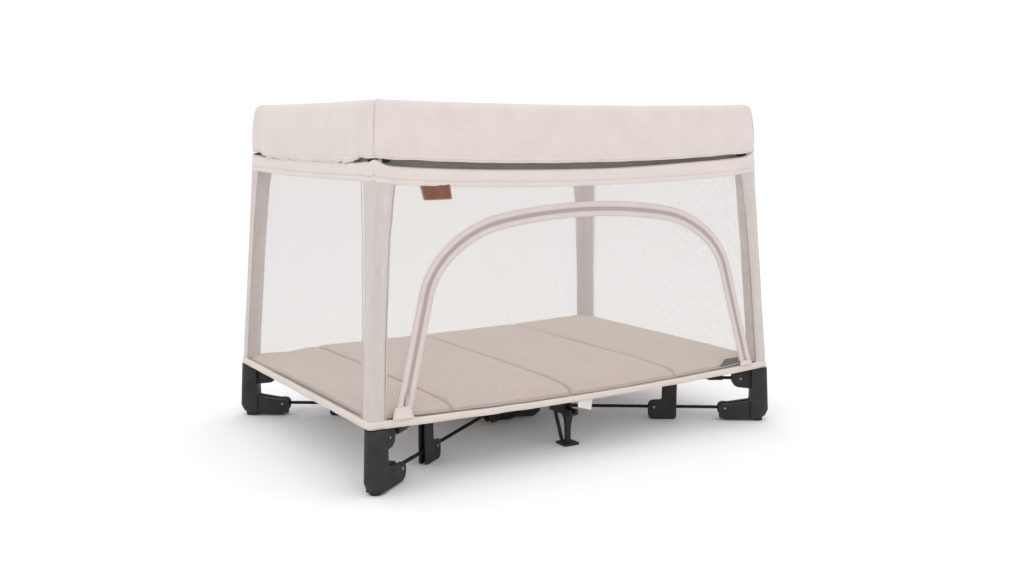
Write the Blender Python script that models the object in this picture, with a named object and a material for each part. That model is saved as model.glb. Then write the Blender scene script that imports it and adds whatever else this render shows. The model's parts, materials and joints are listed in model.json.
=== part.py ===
"""Folding playpen: a hub, four diagonal parallelogram spokes, corner posts, hinged top rails, fabric walls.

Units are metres and +Z is up. The door is in the -Y side. The whole frame folds by lifting the hub.
"""

from math import atan2, cos, hypot, pi, sin, tan, tau

import bmesh
import bpy
from mathutils import Matrix, Vector

GAP = 0.0004  # between pieces that touch on the real object

# Fabric box: half sizes at the hem and at the top, and the heights that divide it
HEM_Z, TOP_Z = 0.141, 0.766
HEM_X, HEM_Y = 0.535, 0.372
TOP_X, TOP_Y = 0.496, 0.334
WALL_LOW, WALL_HIGH = 0.1325, 0.6545
WALL_THICK = 0.0025
COVER_LOW = 0.6555
COVER_LOW_X, COVER_LOW_Y = 0.505, 0.3425
COVER_DEEP = 0.047
SEAM = 0.0004  # half the gap between the left and right, or front and back, fabric halves
PAST = 0.01  # how far a cutting shape runs past the solid it cuts

# Diagonal spokes, seen in the vertical plane of a diagonal as (distance from the middle, height)
DIAGONAL = atan2(0.360, 0.518)
LOWER_Z, UPPER_Z = 0.030, 0.104
HUB_LOWER, HUB_UPPER = 0.085, 0.122
SPOKE = 0.464
INNER_SPOKE = 0.291
BAR_R, EYE_R, EYE_HALF = 0.004, 0.0075, 0.0046
PIN_R, PIN_HOLE_R, PIN_HALF = 0.0026, 0.0030, 0.008
CHEEK_IN, CHEEK_OUT = 0.0054, 0.0092

# Corner legs and posts
LEG_TOP = 0.1305
LEG_BACK, LEG_HALF, LEG_MIDDLE = 0.6115, 0.020, 0.631
BOOT_IN, BOOT_OUT = CHEEK_IN, 0.0165
LOBE_OUT = 0.0098
COLLAR_R = 0.0112
POST_X, POST_Y, POST_AT_Z, POST_LEAN = 0.518, 0.360, 0.10, 0.0625
POST_R, POST_WALL = 0.009, 0.0015
POST_LOW, POST_HIGH = 0.062, 0.741

# Top rails
RAIL_Z, RAIL_R, RAIL_WALL = 0.722, 0.010, 0.0015
LONG_Y, LONG_PIVOT = 0.314, 0.453
SHORT_X, SHORT_PIVOT = 0.473, 0.295
LONG_HALF, SHORT_HALF = 0.381, 0.265
TONGUE_HALF, TONGUE_R, TONGUE_DEEP = 0.005, 0.008, 0.024
RAIL_INSET = 0.014  # from a rail's pin to the end of its tube
CLEVIS_IN, CLEVIS_OUT = 0.0054, 0.009
BOSS_R = 0.0123

# Hub and the supports on the long sides
BARREL_R, BASE_R, BARREL_TOP = 0.026, 0.034, 0.112
HANDLE_BORE = 0.008
SUPPORT_EAR, SUPPORT_BAR, SUPPORT_Z = 0.036, 0.232, 0.085

# Mattress, with its fold lines along Y
MATTRESS_LOW, MATTRESS_HIGH = 0.1505, 0.1625
MATTRESS_X, MATTRESS_Y, MATTRESS_CLIP = 0.520, 0.360, 0.035
FOLDS = (-0.345, -0.048, 0.248)

# Door: half of its outline as (x, z), a slanted side, a shoulder and a flat crown
DOOR_LOW = 0.152
DOOR_FOOT, DOOR_SHOULDER = (0.462, DOOR_LOW), (0.398, 0.385)
DOOR_HIP, DOOR_CROWN = (0.222, 0.521), (0.0, 0.539)

CORNERS = {"fl": (-1, -1), "fr": (1, -1), "bl": (-1, 1), "br": (1, 1)}

for old in list(bpy.data.objects):
    bpy.data.objects.remove(old, do_unlink=True)


def material(name, colour, roughness, metallic=0.0, alpha=1.0):
    """A Principled material with a linear base colour."""
    made = bpy.data.materials.new(name)
    made.use_nodes = True
    shader = made.node_tree.nodes["Principled BSDF"]
    shader.inputs["Base Color"].default_value = (*colour, 1.0)
    shader.inputs["Roughness"].default_value = roughness
    shader.inputs["Metallic"].default_value = metallic
    shader.inputs["Alpha"].default_value = alpha
    return made


PLASTIC = material("charcoal_plastic", (0.040, 0.040, 0.041), 0.55)
STEEL = material("black_steel", (0.010, 0.010, 0.011), 0.40, 0.6)
TUBE = material("grey_tube", (0.45, 0.45, 0.45), 0.40, 0.8)
COVER = material("cover_fabric", (0.78, 0.71, 0.67), 0.9)
NET = material("net_fabric", (0.74, 0.69, 0.65), 0.9, alpha=0.5)
PAD = material("mattress_fabric", (0.58, 0.50, 0.44), 0.9)
LEATHER = material("brown_leather", (0.26, 0.095, 0.046), 0.6)
LABEL = material("white_label", (0.70, 0.68, 0.68), 0.8)
WEBBING = material("grey_webbing", (0.11, 0.09, 0.085), 0.9)
ZIP = material("zip_metal", (0.60, 0.52, 0.48), 0.35, 0.7)


# Shapes


def loft(rings):
    """A closed solid through rings of points, with flat caps. All rings have the same number of points."""
    bm = bmesh.new()
    loops = [[bm.verts.new(p) for p in ring] for ring in rings]
    count = len(rings[0])
    for low, high in zip(loops, loops[1:]):
        for i in range(count):
            j = (i + 1) % count
            bm.faces.new((low[i], low[j], high[j], high[i]))
    bm.faces.new(loops[0])
    bm.faces.new(loops[-1])
    bmesh.ops.recalc_face_normals(bm, faces=bm.faces)
    return bm


def rod(start, end, radius, sides=16):
    """A solid cylinder between two points."""
    start, end = Vector(start), Vector(end)
    along = end - start
    turn = along.to_track_quat("Z", "Y").to_matrix().to_4x4()
    bm = bmesh.new()
    bmesh.ops.create_cone(
        bm, cap_ends=True, segments=sides, radius1=radius, radius2=radius, depth=along.length,
        matrix=Matrix.Translation((start + end) / 2) @ turn,
    )
    return bm


def tube(start, end, radius, wall, sides=16):
    """A hollow cylinder between two points, as one closed surface."""
    start, end = Vector(start), Vector(end)
    turn = (end - start).to_track_quat("Z", "Y").to_matrix()
    rings = []
    for at, r in ((start, radius), (end, radius), (end, radius - wall), (start, radius - wall)):
        turns = [tau * i / sides for i in range(sides)]
        rings.append([at + turn @ Vector((r * cos(t), r * sin(t), 0)) for t in turns])
    bm = bmesh.new()
    loops = [[bm.verts.new(p) for p in ring] for ring in rings]
    for low, high in zip(loops, loops[1:] + loops[:1]):
        for i in range(sides):
            j = (i + 1) % sides
            bm.faces.new((low[i], low[j], high[j], high[i]))
    bmesh.ops.recalc_face_normals(bm, faces=bm.faces)
    return bm


def box(low, high):
    """A solid box between two opposite corners."""
    (x0, y0, z0), (x1, y1, z1) = low, high
    plan = ((x0, y0), (x1, y0), (x1, y1), (x0, y1))
    return loft([[(x, y, z) for x, y in plan] for z in (z0, z1)])


def slab(outline, place, low, high):
    """A flat plate from low to high across, with an outline of (a, b) pairs. place(a, across, b) gives a point."""
    return loft([[place(a, across, b) for a, b in outline] for across in (low, high)])


def arc(middle, radius, start, end, steps):
    """Points along an arc in the plane."""
    turns = (start + (end - start) * i / steps for i in range(steps + 1))
    return [(middle[0] + radius * cos(t), middle[1] + radius * sin(t)) for t in turns]


def rounded(corners, steps=4):
    """An outline through (a, b, radius) corners, each rounded by its own radius."""
    points = []
    for i, (a, b, radius) in enumerate(corners):
        here = Vector((a, b))
        if not radius:
            points.append((a, b))
            continue
        before = (Vector(corners[i - 1][:2]) - here).normalized()
        after = (Vector(corners[(i + 1) % len(corners)][:2]) - here).normalized()
        half = before.angle(after) / 2
        middle = here + (before + after).normalized() * radius / sin(half)
        spokes = [here + way * radius / tan(half) - middle for way in (before, after)]
        start, end = (atan2(spoke.y, spoke.x) for spoke in spokes)
        turn = (end - start + pi) % tau - pi
        points += arc(middle, radius, start, start + turn, steps)
    return points


def diagonal(sx, sy):
    """Places (out along the diagonal, across it, up) for one corner."""
    dx, dy = sx * cos(DIAGONAL), sy * sin(DIAGONAL)
    return lambda out, across, up: Vector((out * dx - across * dy, out * dy + across * dx, up))


def upright(sy):
    """Places (out from the middle of a long side's half, across it, up) in the plane x = 0."""
    return lambda out, across, up: Vector((across, sy * out, up))


def mirrored(sx, sy):
    """Places a point of the +X +Y corner in another corner."""
    return lambda x, y, z: Vector((sx * x, sy * y, z))


# Solids into objects


def as_object(name, bm):
    mesh = bpy.data.meshes.new(name)
    bm.to_mesh(mesh)
    bm.free()
    made = bpy.data.objects.new(name, mesh)
    bpy.context.collection.objects.link(made)
    return made


def piece(name, solids, skin, origin=(0, 0, 0), cuts=()):
    """Join solids, cut them, and leave one object with its origin on its joint or base."""
    host = as_object(name, solids[0])
    others = [(as_object("join", s), "UNION") for s in solids[1:]]
    others += [(as_object("cut", c), "DIFFERENCE") for c in cuts]
    for other, operation in others:
        step = host.modifiers.new(operation.lower(), "BOOLEAN")
        step.operation = operation
        step.solver = "EXACT"
        step.object = other
    whole = bpy.data.meshes.new_from_object(host.evaluated_get(bpy.context.evaluated_depsgraph_get()))
    host.modifiers.clear()
    for other, _ in others:
        bpy.data.objects.remove(other, do_unlink=True)
    whole.transform(Matrix.Translation(-Vector(origin)))
    whole.materials.clear()
    whole.materials.append(skin)
    whole.shade_smooth()
    whole.set_sharp_from_angle(angle=pi / 6)
    host.data = whole
    host.location = origin
    return host


# Profiles of the fabric box


def box_at(z):
    """Half sizes of the fabric box's outer face at a height."""
    share = (z - HEM_Z) / (TOP_Z - HEM_Z)
    return HEM_X + (TOP_X - HEM_X) * share, HEM_Y + (TOP_Y - HEM_Y) * share


def cover_at(z):
    """Half sizes of the rail cover's outer face at a height."""
    share = (z - COVER_LOW) / (TOP_Z - COVER_LOW)
    return COVER_LOW_X + (TOP_X - COVER_LOW_X) * share, COVER_LOW_Y + (TOP_Y - COVER_LOW_Y) * share


def ell(place, sizes_at, heights, outer, inner, seam=SEAM):
    """An L-shaped wall over one corner, between two insets from the outer face, through the given heights."""
    rings = []
    for z in heights:
        x, y = sizes_at(z)
        far, near = (x - outer, y - outer), (x - inner, y - inner)
        plan = ((seam, far[1]), far, (far[0], seam), (near[0], seam), near, (seam, near[1]))
        rings.append([place(a, b, z) for a, b in plan])
    return loft(rings)


def bezier(p0, p1, p2, p3, steps):
    """Points of a cubic curve, without its first one."""
    found = []
    for i in range(1, steps + 1):
        t = i / steps
        weights = ((1 - t) ** 3, 3 * t * (1 - t) ** 2, 3 * t * t * (1 - t), t**3)
        found.append(tuple(sum(w * p[k] for w, p in zip(weights, (p0, p1, p2, p3))) for k in (0, 1)))
    return found


def door_line(inset=0.0):
    """Half of the door's outline from its foot to its crown as (x, z), moved inwards by an inset."""
    run = DOOR_SHOULDER[0] - DOOR_FOOT[0], DOOR_SHOULDER[1] - DOOR_FOOT[1]
    reach = 0.075 / hypot(*run)
    leave = DOOR_SHOULDER[0] + run[0] * reach, DOOR_SHOULDER[1] + run[1] * reach
    arrive = DOOR_HIP[0] + 0.074, DOOR_HIP[1] - 0.013
    line = [DOOR_FOOT, DOOR_SHOULDER]
    line += bezier(DOOR_SHOULDER, leave, arrive, DOOR_HIP, 8)
    line += bezier(DOOR_HIP, (0.150, 0.534), (0.060, DOOR_CROWN[1]), DOOR_CROWN, 4)
    moved = []
    for i, (x, z) in enumerate(line):
        before, after = line[max(i - 1, 0)], line[min(i + 1, len(line) - 1)]
        dx, dz = after[0] - before[0], after[1] - before[1]
        length = hypot(dx, dz)
        moved.append((x - inset * dz / length, z + inset * dx / length))
    return moved


# Frame


def pin(put, out, up):
    """A pin across a pivot."""
    return rod(put(out, -PIN_HALF, up), put(out, PIN_HALF, up), PIN_R, 12)


def build_hub():
    solids = [rod((0, 0, 0), (0, 0, BARREL_TOP), BARREL_R, 24)]
    solids.append(rod((0, 0, 0), (0, 0, 0.006), BASE_R, 24))
    cheek = rounded((
        (0.015, 0.002, 0), (0.078, 0.004, 0.008), (0.095, 0.019, 0.006), (0.096, 0.040, 0),
        (0.131, 0.094, 0.006), (0.131, 0.112, 0.006), (0.015, 0.112, 0),
    ))
    for sx, sy in CORNERS.values():
        place = diagonal(sx, sy)
        solids += [slab(cheek, place, side * CHEEK_IN, side * CHEEK_OUT) for side in (-1, 1)]
        solids += [pin(place, HUB_LOWER, LOWER_Z), pin(place, HUB_UPPER, UPPER_Z)]
    ear = rounded(((0.015, 0.072, 0), (0.046, 0.075, 0.008), (0.046, 0.098, 0.008), (0.015, 0.100, 0)))
    for sy in (-1, 1):
        put = upright(sy)
        solids += [slab(ear, put, side * CHEEK_IN, side * CHEEK_OUT) for side in (-1, 1)]
        solids.append(pin(put, SUPPORT_EAR, SUPPORT_Z))
    bore = rod((0, 0, 0.026), (0, 0, BARREL_TOP + PAST), HANDLE_BORE + GAP, 20)
    piece("hub", solids, PLASTIC, cuts=[bore])


def build_handle():
    shaft = rod((0, 0, 0.030), (0, 0, 0.118), HANDLE_BORE - GAP, 20)
    head = rod((0, 0, BARREL_TOP + GAP), (0, 0, 0.121), 0.020, 24)
    grip = box((-0.017, -0.004, 0.119), (0.017, 0.004, 0.128))
    piece("hub_handle", [shaft, head, grip], PLASTIC, (0, 0, BARREL_TOP))


def bar(name, place, outs, up, origin):
    """A steel bar with an eye at each distance in outs."""
    solids = [rod(place(outs[0], 0, up), place(outs[-1], 0, up), BAR_R, 12)]
    solids += [rod(place(o, -EYE_HALF, up), place(o, EYE_HALF, up), EYE_R, 16) for o in outs]
    holes = [rod(place(o, -PAST, up), place(o, PAST, up), PIN_HOLE_R, 12) for o in outs]
    piece(name, solids, STEEL, origin, holes)


def build_spoke(corner, place):
    """One diagonal: its two level bars and its inner leg."""
    for level, start, up in (("lower", HUB_LOWER, LOWER_Z), ("upper", HUB_UPPER, UPPER_Z)):
        outs = (start, start + INNER_SPOKE, start + SPOKE)
        bar(f"{level}_bar_{corner}", place, outs, up, place(start, 0, up))
    low, high = (HUB_LOWER + INNER_SPOKE, LOWER_Z), (HUB_UPPER + INNER_SPOKE, UPPER_Z)
    plate = rounded((
        (0.362, 0.0, 0.012), (0.431, 0.0, 0.008), (0.431, 0.120, 0.0085), (0.414, 0.120, 0.0085),
        (0.3965, 0.106, 0), (0.3955, 0.046, 0.004), (0.362, 0.044, 0.013),
    ))
    solids = [slab(plate, place, side * CHEEK_IN, side * CHEEK_OUT) for side in (-1, 1)]
    web = [(0.3960, 0.050), (0.4030, 0.050), (0.4030, 0.090), (0.3975, 0.090)]
    solids.insert(0, slab(web, place, -CHEEK_OUT + 0.001, CHEEK_OUT - 0.001))
    solids += [pin(place, *low), pin(place, *high)]
    piece(f"inner_leg_{corner}", solids, PLASTIC, place(low[0], 0, low[1]))


def post_at(place, z):
    """A point on a post's leaning axis."""
    shift = POST_LEAN * (z - POST_AT_Z)
    return place(POST_X - shift, POST_Y - shift, z)


def build_leg(corner, spot, place):
    """A corner's leg: a D-shaped shell, a boot for the lower bar, a lobe for the upper one, the post's collar."""
    out = HUB_LOWER + SPOKE
    levels = ((0.006, 0.641), (0.012, 0.650), (0.026, 0.6565), (LEG_TOP, 0.6505))
    shell = []
    for z, nose in levels:
        bow = arc((nose - LEG_HALF, 0), LEG_HALF, -pi / 2, pi / 2, 10)
        dee = [(LEG_BACK, -LEG_HALF)] + bow + [(LEG_BACK, LEG_HALF)]
        shell.append([place(a, b, z) for a, b in dee])
    boot = rounded((
        (0.534, 0.004, 0.019), (0.640, 0.004, 0), (0.640, 0.051, 0), (0.616, 0.058, 0), (0.609, 0.049, 0.004),
        (0.560, 0.041, 0), (0.534, 0.042, 0.012),
    ))
    lobe = rounded(((0.625, 0.078, 0), (0.625, 0.126, 0), (0.565, 0.126, 0.004), (0.565, 0.084, 0.018)))
    floor = [(0.538, 0.0045), (0.625, 0.0045), (0.625, 0.012), (0.538, 0.012)]
    solids = [loft(shell), rod(place(LEG_MIDDLE, 0, 0), place(LEG_MIDDLE, 0, 0.010), 0.0125, 20)]
    solids.append(slab(floor, place, -0.007, 0.007))
    for side in (-1, 1):
        solids.append(slab(boot, place, side * BOOT_IN, side * BOOT_OUT))
        solids.append(slab(lobe, place, side * CHEEK_IN, side * LOBE_OUT))
    solids += [pin(place, out, LOWER_Z), pin(place, HUB_UPPER + SPOKE, UPPER_Z)]
    solids.append(rod(post_at(spot, 0.110), post_at(spot, 0.146), COLLAR_R, 20))
    socket = rod(post_at(spot, POST_LOW - 0.001), post_at(spot, 0.160), POST_R + GAP, 20)
    piece(f"corner_leg_{corner}", solids, PLASTIC, place(out, 0, LOWER_Z), [socket])


def build_top_corner(corner, spot):
    """The fitting on a post's top, with a fork for each rail."""
    solids = [rod(post_at(spot, 0.696), post_at(spot, 0.747), BOSS_R, 24)]
    forks = (
        (LONG_PIVOT, lambda a, b, z: spot(a, LONG_Y + b, z)),
        (SHORT_PIVOT, lambda a, b, z: spot(SHORT_X + b, a, z)),
    )
    for pivot, put in forks:
        open_end, root, back = pivot - 0.008, pivot + 0.010, pivot + 0.027
        plan = [
            (open_end, -CLEVIS_OUT), (back, -CLEVIS_OUT), (back, CLEVIS_OUT), (open_end, CLEVIS_OUT),
            (open_end, CLEVIS_IN), (root, CLEVIS_IN), (root, -CLEVIS_IN), (open_end, -CLEVIS_IN),
        ]
        solids.append(loft([[put(a, b, z) for a, b in plan] for z in (RAIL_Z - TONGUE_R, RAIL_Z + TONGUE_R)]))
        solids.append(pin(put, pivot, RAIL_Z))
    hole = rod(post_at(spot, 0.690), post_at(spot, POST_HIGH + 0.001), POST_R + GAP, 20)
    piece(f"top_corner_{corner}", solids, PLASTIC, spot(LONG_PIVOT, LONG_Y, RAIL_Z), [hole])


def build_corner(corner, spot, place):
    """A corner's leg, post and top fitting. place is along the diagonal, spot is a mirrored corner."""
    build_leg(corner, spot, place)
    post = tube(post_at(spot, POST_LOW), post_at(spot, POST_HIGH), POST_R, POST_WALL)
    piece(f"corner_post_{corner}", [post], TUBE, place(HUB_LOWER + SPOKE, 0, LOWER_Z))
    build_top_corner(corner, spot)


def half_rail(name, put, outer, length):
    """Half of a top rail, from its corner pivot inwards. put(along, across, up) places it."""
    inner = outer - length
    ends = put(outer - RAIL_INSET, 0, RAIL_Z), put(inner + RAIL_INSET, 0, RAIL_Z)
    solids = [tube(*ends, RAIL_R, RAIL_WALL)]
    for pivot, way in ((outer, -1), (inner, 1)):
        deep = pivot + way * TONGUE_DEEP
        tongue = [(deep, RAIL_Z - TONGUE_R), (deep, RAIL_Z + TONGUE_R)]
        tongue += [(pivot - way * a, RAIL_Z + b) for a, b in arc((0, 0), TONGUE_R, pi / 2, -pi / 2, 6)]
        solids.append(slab(tongue, put, -TONGUE_HALF, TONGUE_HALF))
    holes = [rod(put(p, -PAST, RAIL_Z), put(p, PAST, RAIL_Z), PIN_HOLE_R, 12) for p in (outer, inner)]
    piece(name, solids, TUBE, put(outer, 0, RAIL_Z), holes)


def rail_hinge(name, put, pivot):
    """The middle hinge of a top rail: a block with a fork and a pin at each end."""
    root, tip = pivot - 0.012, pivot + 0.008
    plan = []
    for way in (1, -1):
        fork = (
            (root, -CLEVIS_IN), (tip, -CLEVIS_IN), (tip, -CLEVIS_OUT),
            (-tip, -CLEVIS_OUT), (-tip, -CLEVIS_IN), (-root, -CLEVIS_IN),
        )
        plan += [(way * a, way * b) for a, b in fork]
    solids = [loft([[put(a, b, z) for a, b in plan] for z in (RAIL_Z - TONGUE_R, RAIL_Z + TONGUE_R)])]
    solids += [pin(put, p, RAIL_Z) for p in (pivot, -pivot)]
    piece(name, solids, PLASTIC, put(-pivot, 0, RAIL_Z))


def along_x(sx, y):
    """Places (along a long side, across it, up)."""
    return lambda along, across, up: Vector((sx * along, y + across, up))


def along_y(x, sy):
    """Places (along a short side, across it, up)."""
    return lambda along, across, up: Vector((x + across, sy * along, up))


def build_rails():
    for corner, (sx, sy) in CORNERS.items():
        half_rail(f"long_rail_{corner}", along_x(sx, sy * LONG_Y), LONG_PIVOT, LONG_HALF)
        half_rail(f"short_rail_{corner}", along_y(sx * SHORT_X, sy), SHORT_PIVOT, SHORT_HALF)
    for side, sign in (("front", -1), ("back", 1)):
        rail_hinge(f"rail_hinge_{side}", along_x(1, sign * LONG_Y), LONG_PIVOT - LONG_HALF)
    for side, sign in (("left", -1), ("right", 1)):
        rail_hinge(f"rail_hinge_{side}", along_y(sign * SHORT_X, 1), SHORT_PIVOT - SHORT_HALF)


def build_support(side, sy):
    """The bar and leg under the middle of a long side."""
    put = upright(sy)
    inner, outer = SUPPORT_EAR, SUPPORT_EAR + SUPPORT_BAR
    bar(f"support_bar_{side}", put, (inner, outer), SUPPORT_Z, put(inner, 0, SUPPORT_Z))
    foot = slab([(0.262, 0.0), (0.300, 0.0), (0.300, 0.005), (0.262, 0.005)], put, -0.019, 0.019)
    rings = (
        (0.004, 0.0055, 0.277, 0.285), (0.042, 0.0062, 0.2765, 0.2855),
        (0.058, 0.0080, 0.276, 0.287), (0.0705, 0.0110, 0.273, 0.290),
    )
    stem = loft([[put(a, c, z) for a, c in ((s, -w), (e, -w), (e, w), (s, w))] for z, w, s, e in rings])
    brace = slab([(0.256, 0.004), (0.262, 0.004), (0.231, 0.072), (0.226, 0.072)], put, -0.0035, 0.0035)
    floor = slab([(0.226, 0.0702), (0.304, 0.0702), (0.304, 0.0755), (0.226, 0.0755)], put, -0.007, 0.007)
    flange = rounded((
        (0.225, 0.070, 0), (0.305, 0.070, 0.003), (0.305, 0.083, 0.003), (0.281, 0.083, 0),
        (0.276, 0.095, 0.004), (0.260, 0.095, 0.004), (0.255, 0.083, 0), (0.225, 0.083, 0.003),
    ))
    solids = [stem, foot, brace, floor]
    solids += [slab(flange, put, side * CHEEK_IN, side * 0.012) for side in (-1, 1)]
    solids.append(pin(put, outer, SUPPORT_Z))
    piece(f"support_leg_{side}", solids, PLASTIC, put(outer, 0, SUPPORT_Z))


# Fabric


def build_walls():
    opening = [(-PAST, DOOR_LOW - SEAM), (DOOR_FOOT[0], DOOR_LOW - SEAM)] + door_line()[1:]
    opening.append((-PAST, DOOR_CROWN[1]))
    skin, cavity = (COVER_LOW, TOP_Z), (COVER_LOW - PAST, TOP_Z - WALL_THICK)
    for corner, (sx, sy) in CORNERS.items():
        place = mirrored(sx, sy)
        wall = ell(place, box_at, (WALL_LOW, WALL_HIGH), 0, WALL_THICK)
        cuts = [slab(opening, place, HEM_Y - 0.06, HEM_Y + 0.02)] if sy < 0 else []
        piece(f"wall_{corner}", [wall], NET, place(POST_X, POST_Y, WALL_LOW), cuts)
        shell = ell(place, cover_at, skin, 0, COVER_DEEP)
        hollow = ell(place, cover_at, cavity, WALL_THICK, COVER_DEEP - WALL_THICK, -PAST)
        piece(f"cover_{corner}", [shell], COVER, place(POST_X, POST_Y, COVER_LOW), [hollow])


def front_face(x, inset, z):
    """A point of the front wall, a given depth behind its outer face."""
    return Vector((x, inset - box_at(z)[1], z))


def build_door():
    """The two halves of the door, inside the arch and hinged at its foot."""
    for side, sx in (("left", -1), ("right", 1)):
        line = door_line(0.001)
        outline = [(SEAM, DOOR_LOW)] + [(line[0][0], DOOR_LOW)] + line[1:-1] + [(SEAM, line[-1][1])]
        rings = [[front_face(sx * x, inset, z) for x, z in outline] for inset in (0, 0.002)]
        piece(f"door_{side}", [loft(rings)], NET, front_face(0, 0, DOOR_LOW))


def build_trim():
    """The leather tag, the zip's slider, the care label and the mattress's webbing tab."""
    flat = {
        "tag": (-0.401, -0.334, 0.572, 0.599, -0.0020, -GAP, LEATHER),
        "zip_slider": (-0.456, -0.446, 0.176, 0.198, -0.0045, -GAP, ZIP),
        "care_label": (-0.037, -0.001, 0.112, WALL_LOW - GAP, 0.0006, 0.0016, LABEL),
    }
    for name, (left, right, low, high, near, far, skin) in flat.items():
        plan = ((left, near), (right, near), (right, far), (left, far))
        rings = [[front_face(x, inset, z) for x, inset in plan] for z in (low, high)]
        piece(name, [loft(rings)], skin, front_face(left, near, low))
    edge = -MATTRESS_Y - GAP
    tab = box((0.383, edge - 0.002, 0.151), (0.439, edge, 0.166))
    piece("mattress_tab", [tab], WEBBING, (FOLDS[2], 0, MATTRESS_HIGH))


def build_mattress():
    """Four panels side by side, each with its origin on its fold line."""
    edges = (-MATTRESS_X, *FOLDS, MATTRESS_X)
    pivots = (FOLDS[0], FOLDS[1], FOLDS[1], FOLDS[2])
    for i, (left, right) in enumerate(zip(edges, edges[1:])):
        start, end, y = left + GAP, right - GAP, MATTRESS_Y
        cut, short = MATTRESS_CLIP, MATTRESS_Y - MATTRESS_CLIP
        plan = [(start, -y), (end, -y), (end, y), (start, y)]
        if i == 0:
            plan = [(start + cut, -y), (end, -y), (end, y), (start + cut, y), (start, short), (start, -short)]
        if i == 3:
            plan = [(start, -y), (end - cut, -y), (end, -short), (end, short), (end - cut, y), (start, y)]
        rings = [[(a, b, z) for a, b in plan] for z in (MATTRESS_LOW, MATTRESS_HIGH)]
        pivot_z = MATTRESS_LOW if i in (0, 3) else MATTRESS_HIGH
        piece(f"mattress_{i + 1}", [loft(rings)], PAD, (pivots[i], 0, pivot_z))


build_hub()
build_handle()
for corner, (sx, sy) in CORNERS.items():
    build_spoke(corner, diagonal(sx, sy))
    build_corner(corner, mirrored(sx, sy), diagonal(sx, sy))
build_rails()
for side, sy in (("front", -1), ("back", 1)):
    build_support(side, sy)
build_walls()
build_door()
build_trim()
build_mattress()
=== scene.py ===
"""The looks of a folding playpen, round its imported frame: cloth, net, zip, leather, plastic and steel."""

import functools
import json
import math

import bmesh
import bpy
import numpy as np
from mathutils import Matrix, Vector, noise

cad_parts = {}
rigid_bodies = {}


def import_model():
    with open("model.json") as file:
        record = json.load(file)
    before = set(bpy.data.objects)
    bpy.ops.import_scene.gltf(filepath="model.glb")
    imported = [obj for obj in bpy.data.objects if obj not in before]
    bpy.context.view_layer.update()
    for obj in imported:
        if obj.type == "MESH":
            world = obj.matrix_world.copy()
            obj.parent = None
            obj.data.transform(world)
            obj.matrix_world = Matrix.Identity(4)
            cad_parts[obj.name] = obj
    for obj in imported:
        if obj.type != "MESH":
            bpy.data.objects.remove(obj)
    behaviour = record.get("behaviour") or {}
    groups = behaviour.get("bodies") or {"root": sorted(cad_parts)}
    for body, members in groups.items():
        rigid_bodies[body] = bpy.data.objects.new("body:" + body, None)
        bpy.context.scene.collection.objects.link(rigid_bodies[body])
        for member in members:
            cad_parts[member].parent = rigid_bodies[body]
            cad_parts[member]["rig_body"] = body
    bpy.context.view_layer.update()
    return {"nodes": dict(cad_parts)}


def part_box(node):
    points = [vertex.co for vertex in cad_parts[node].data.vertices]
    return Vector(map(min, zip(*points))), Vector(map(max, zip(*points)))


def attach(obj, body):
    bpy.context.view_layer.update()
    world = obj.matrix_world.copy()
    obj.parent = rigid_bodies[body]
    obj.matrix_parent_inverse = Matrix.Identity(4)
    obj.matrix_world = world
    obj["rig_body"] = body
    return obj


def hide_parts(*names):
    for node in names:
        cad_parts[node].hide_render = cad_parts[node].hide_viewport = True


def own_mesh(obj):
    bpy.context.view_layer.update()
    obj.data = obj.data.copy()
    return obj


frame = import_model()

CORNERS = {"fl": (-1, -1), "fr": (1, -1), "bl": (-1, 1), "br": (1, 1)}

# The fabric box, from the frame. Its walls lean in by these shares of their height.
WALL_LOW, WALL_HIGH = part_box("wall_br")
COVER_LOW, COVER_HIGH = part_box("cover_br")
HEM_BOTTOM, HEM_TOP = WALL_LOW.z, 0.150
TOP_Z = COVER_HIGH.z
LEAN_X, LEAN_Y = 0.0624, 0.0608
DIAGONAL = math.atan2(0.360, 0.518)  # the way of a diagonal's bars, seen from above
JOIN_X, JOIN_Y = 0.440, 0.280  # where the corner pieces of cloth meet the side pieces


def half_sizes(z):
    """Half sizes of the fabric box's outer face at a height."""
    return WALL_HIGH.x - LEAN_X * (z - HEM_BOTTOM), WALL_HIGH.y - LEAN_Y * (z - HEM_BOTTOM)


def on_face(face, a, z, depth):
    """A point on one side of the fabric box: a along the side, z up, depth inwards."""
    x, y = half_sizes(z)
    if face in ("front", "back"):
        return Vector((a, (y - depth) * (1 if face == "back" else -1), z))
    return Vector(((x - depth) * (1 if face == "right" else -1), a, z))


def faces_of(corner):
    """The long and the short side that meet at a corner."""
    sx, sy = CORNERS[corner]
    return ("back" if sy > 0 else "front"), ("right" if sx > 0 else "left")


# Materials ---------------------------------------------------

STITCH_PITCH, STITCH_HALF = 0.0042, 0.0007  # from one stitch to the next, and half a stitch's width
STITCH_SHARE = 0.72  # how much of its pitch a stitch fills


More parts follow.
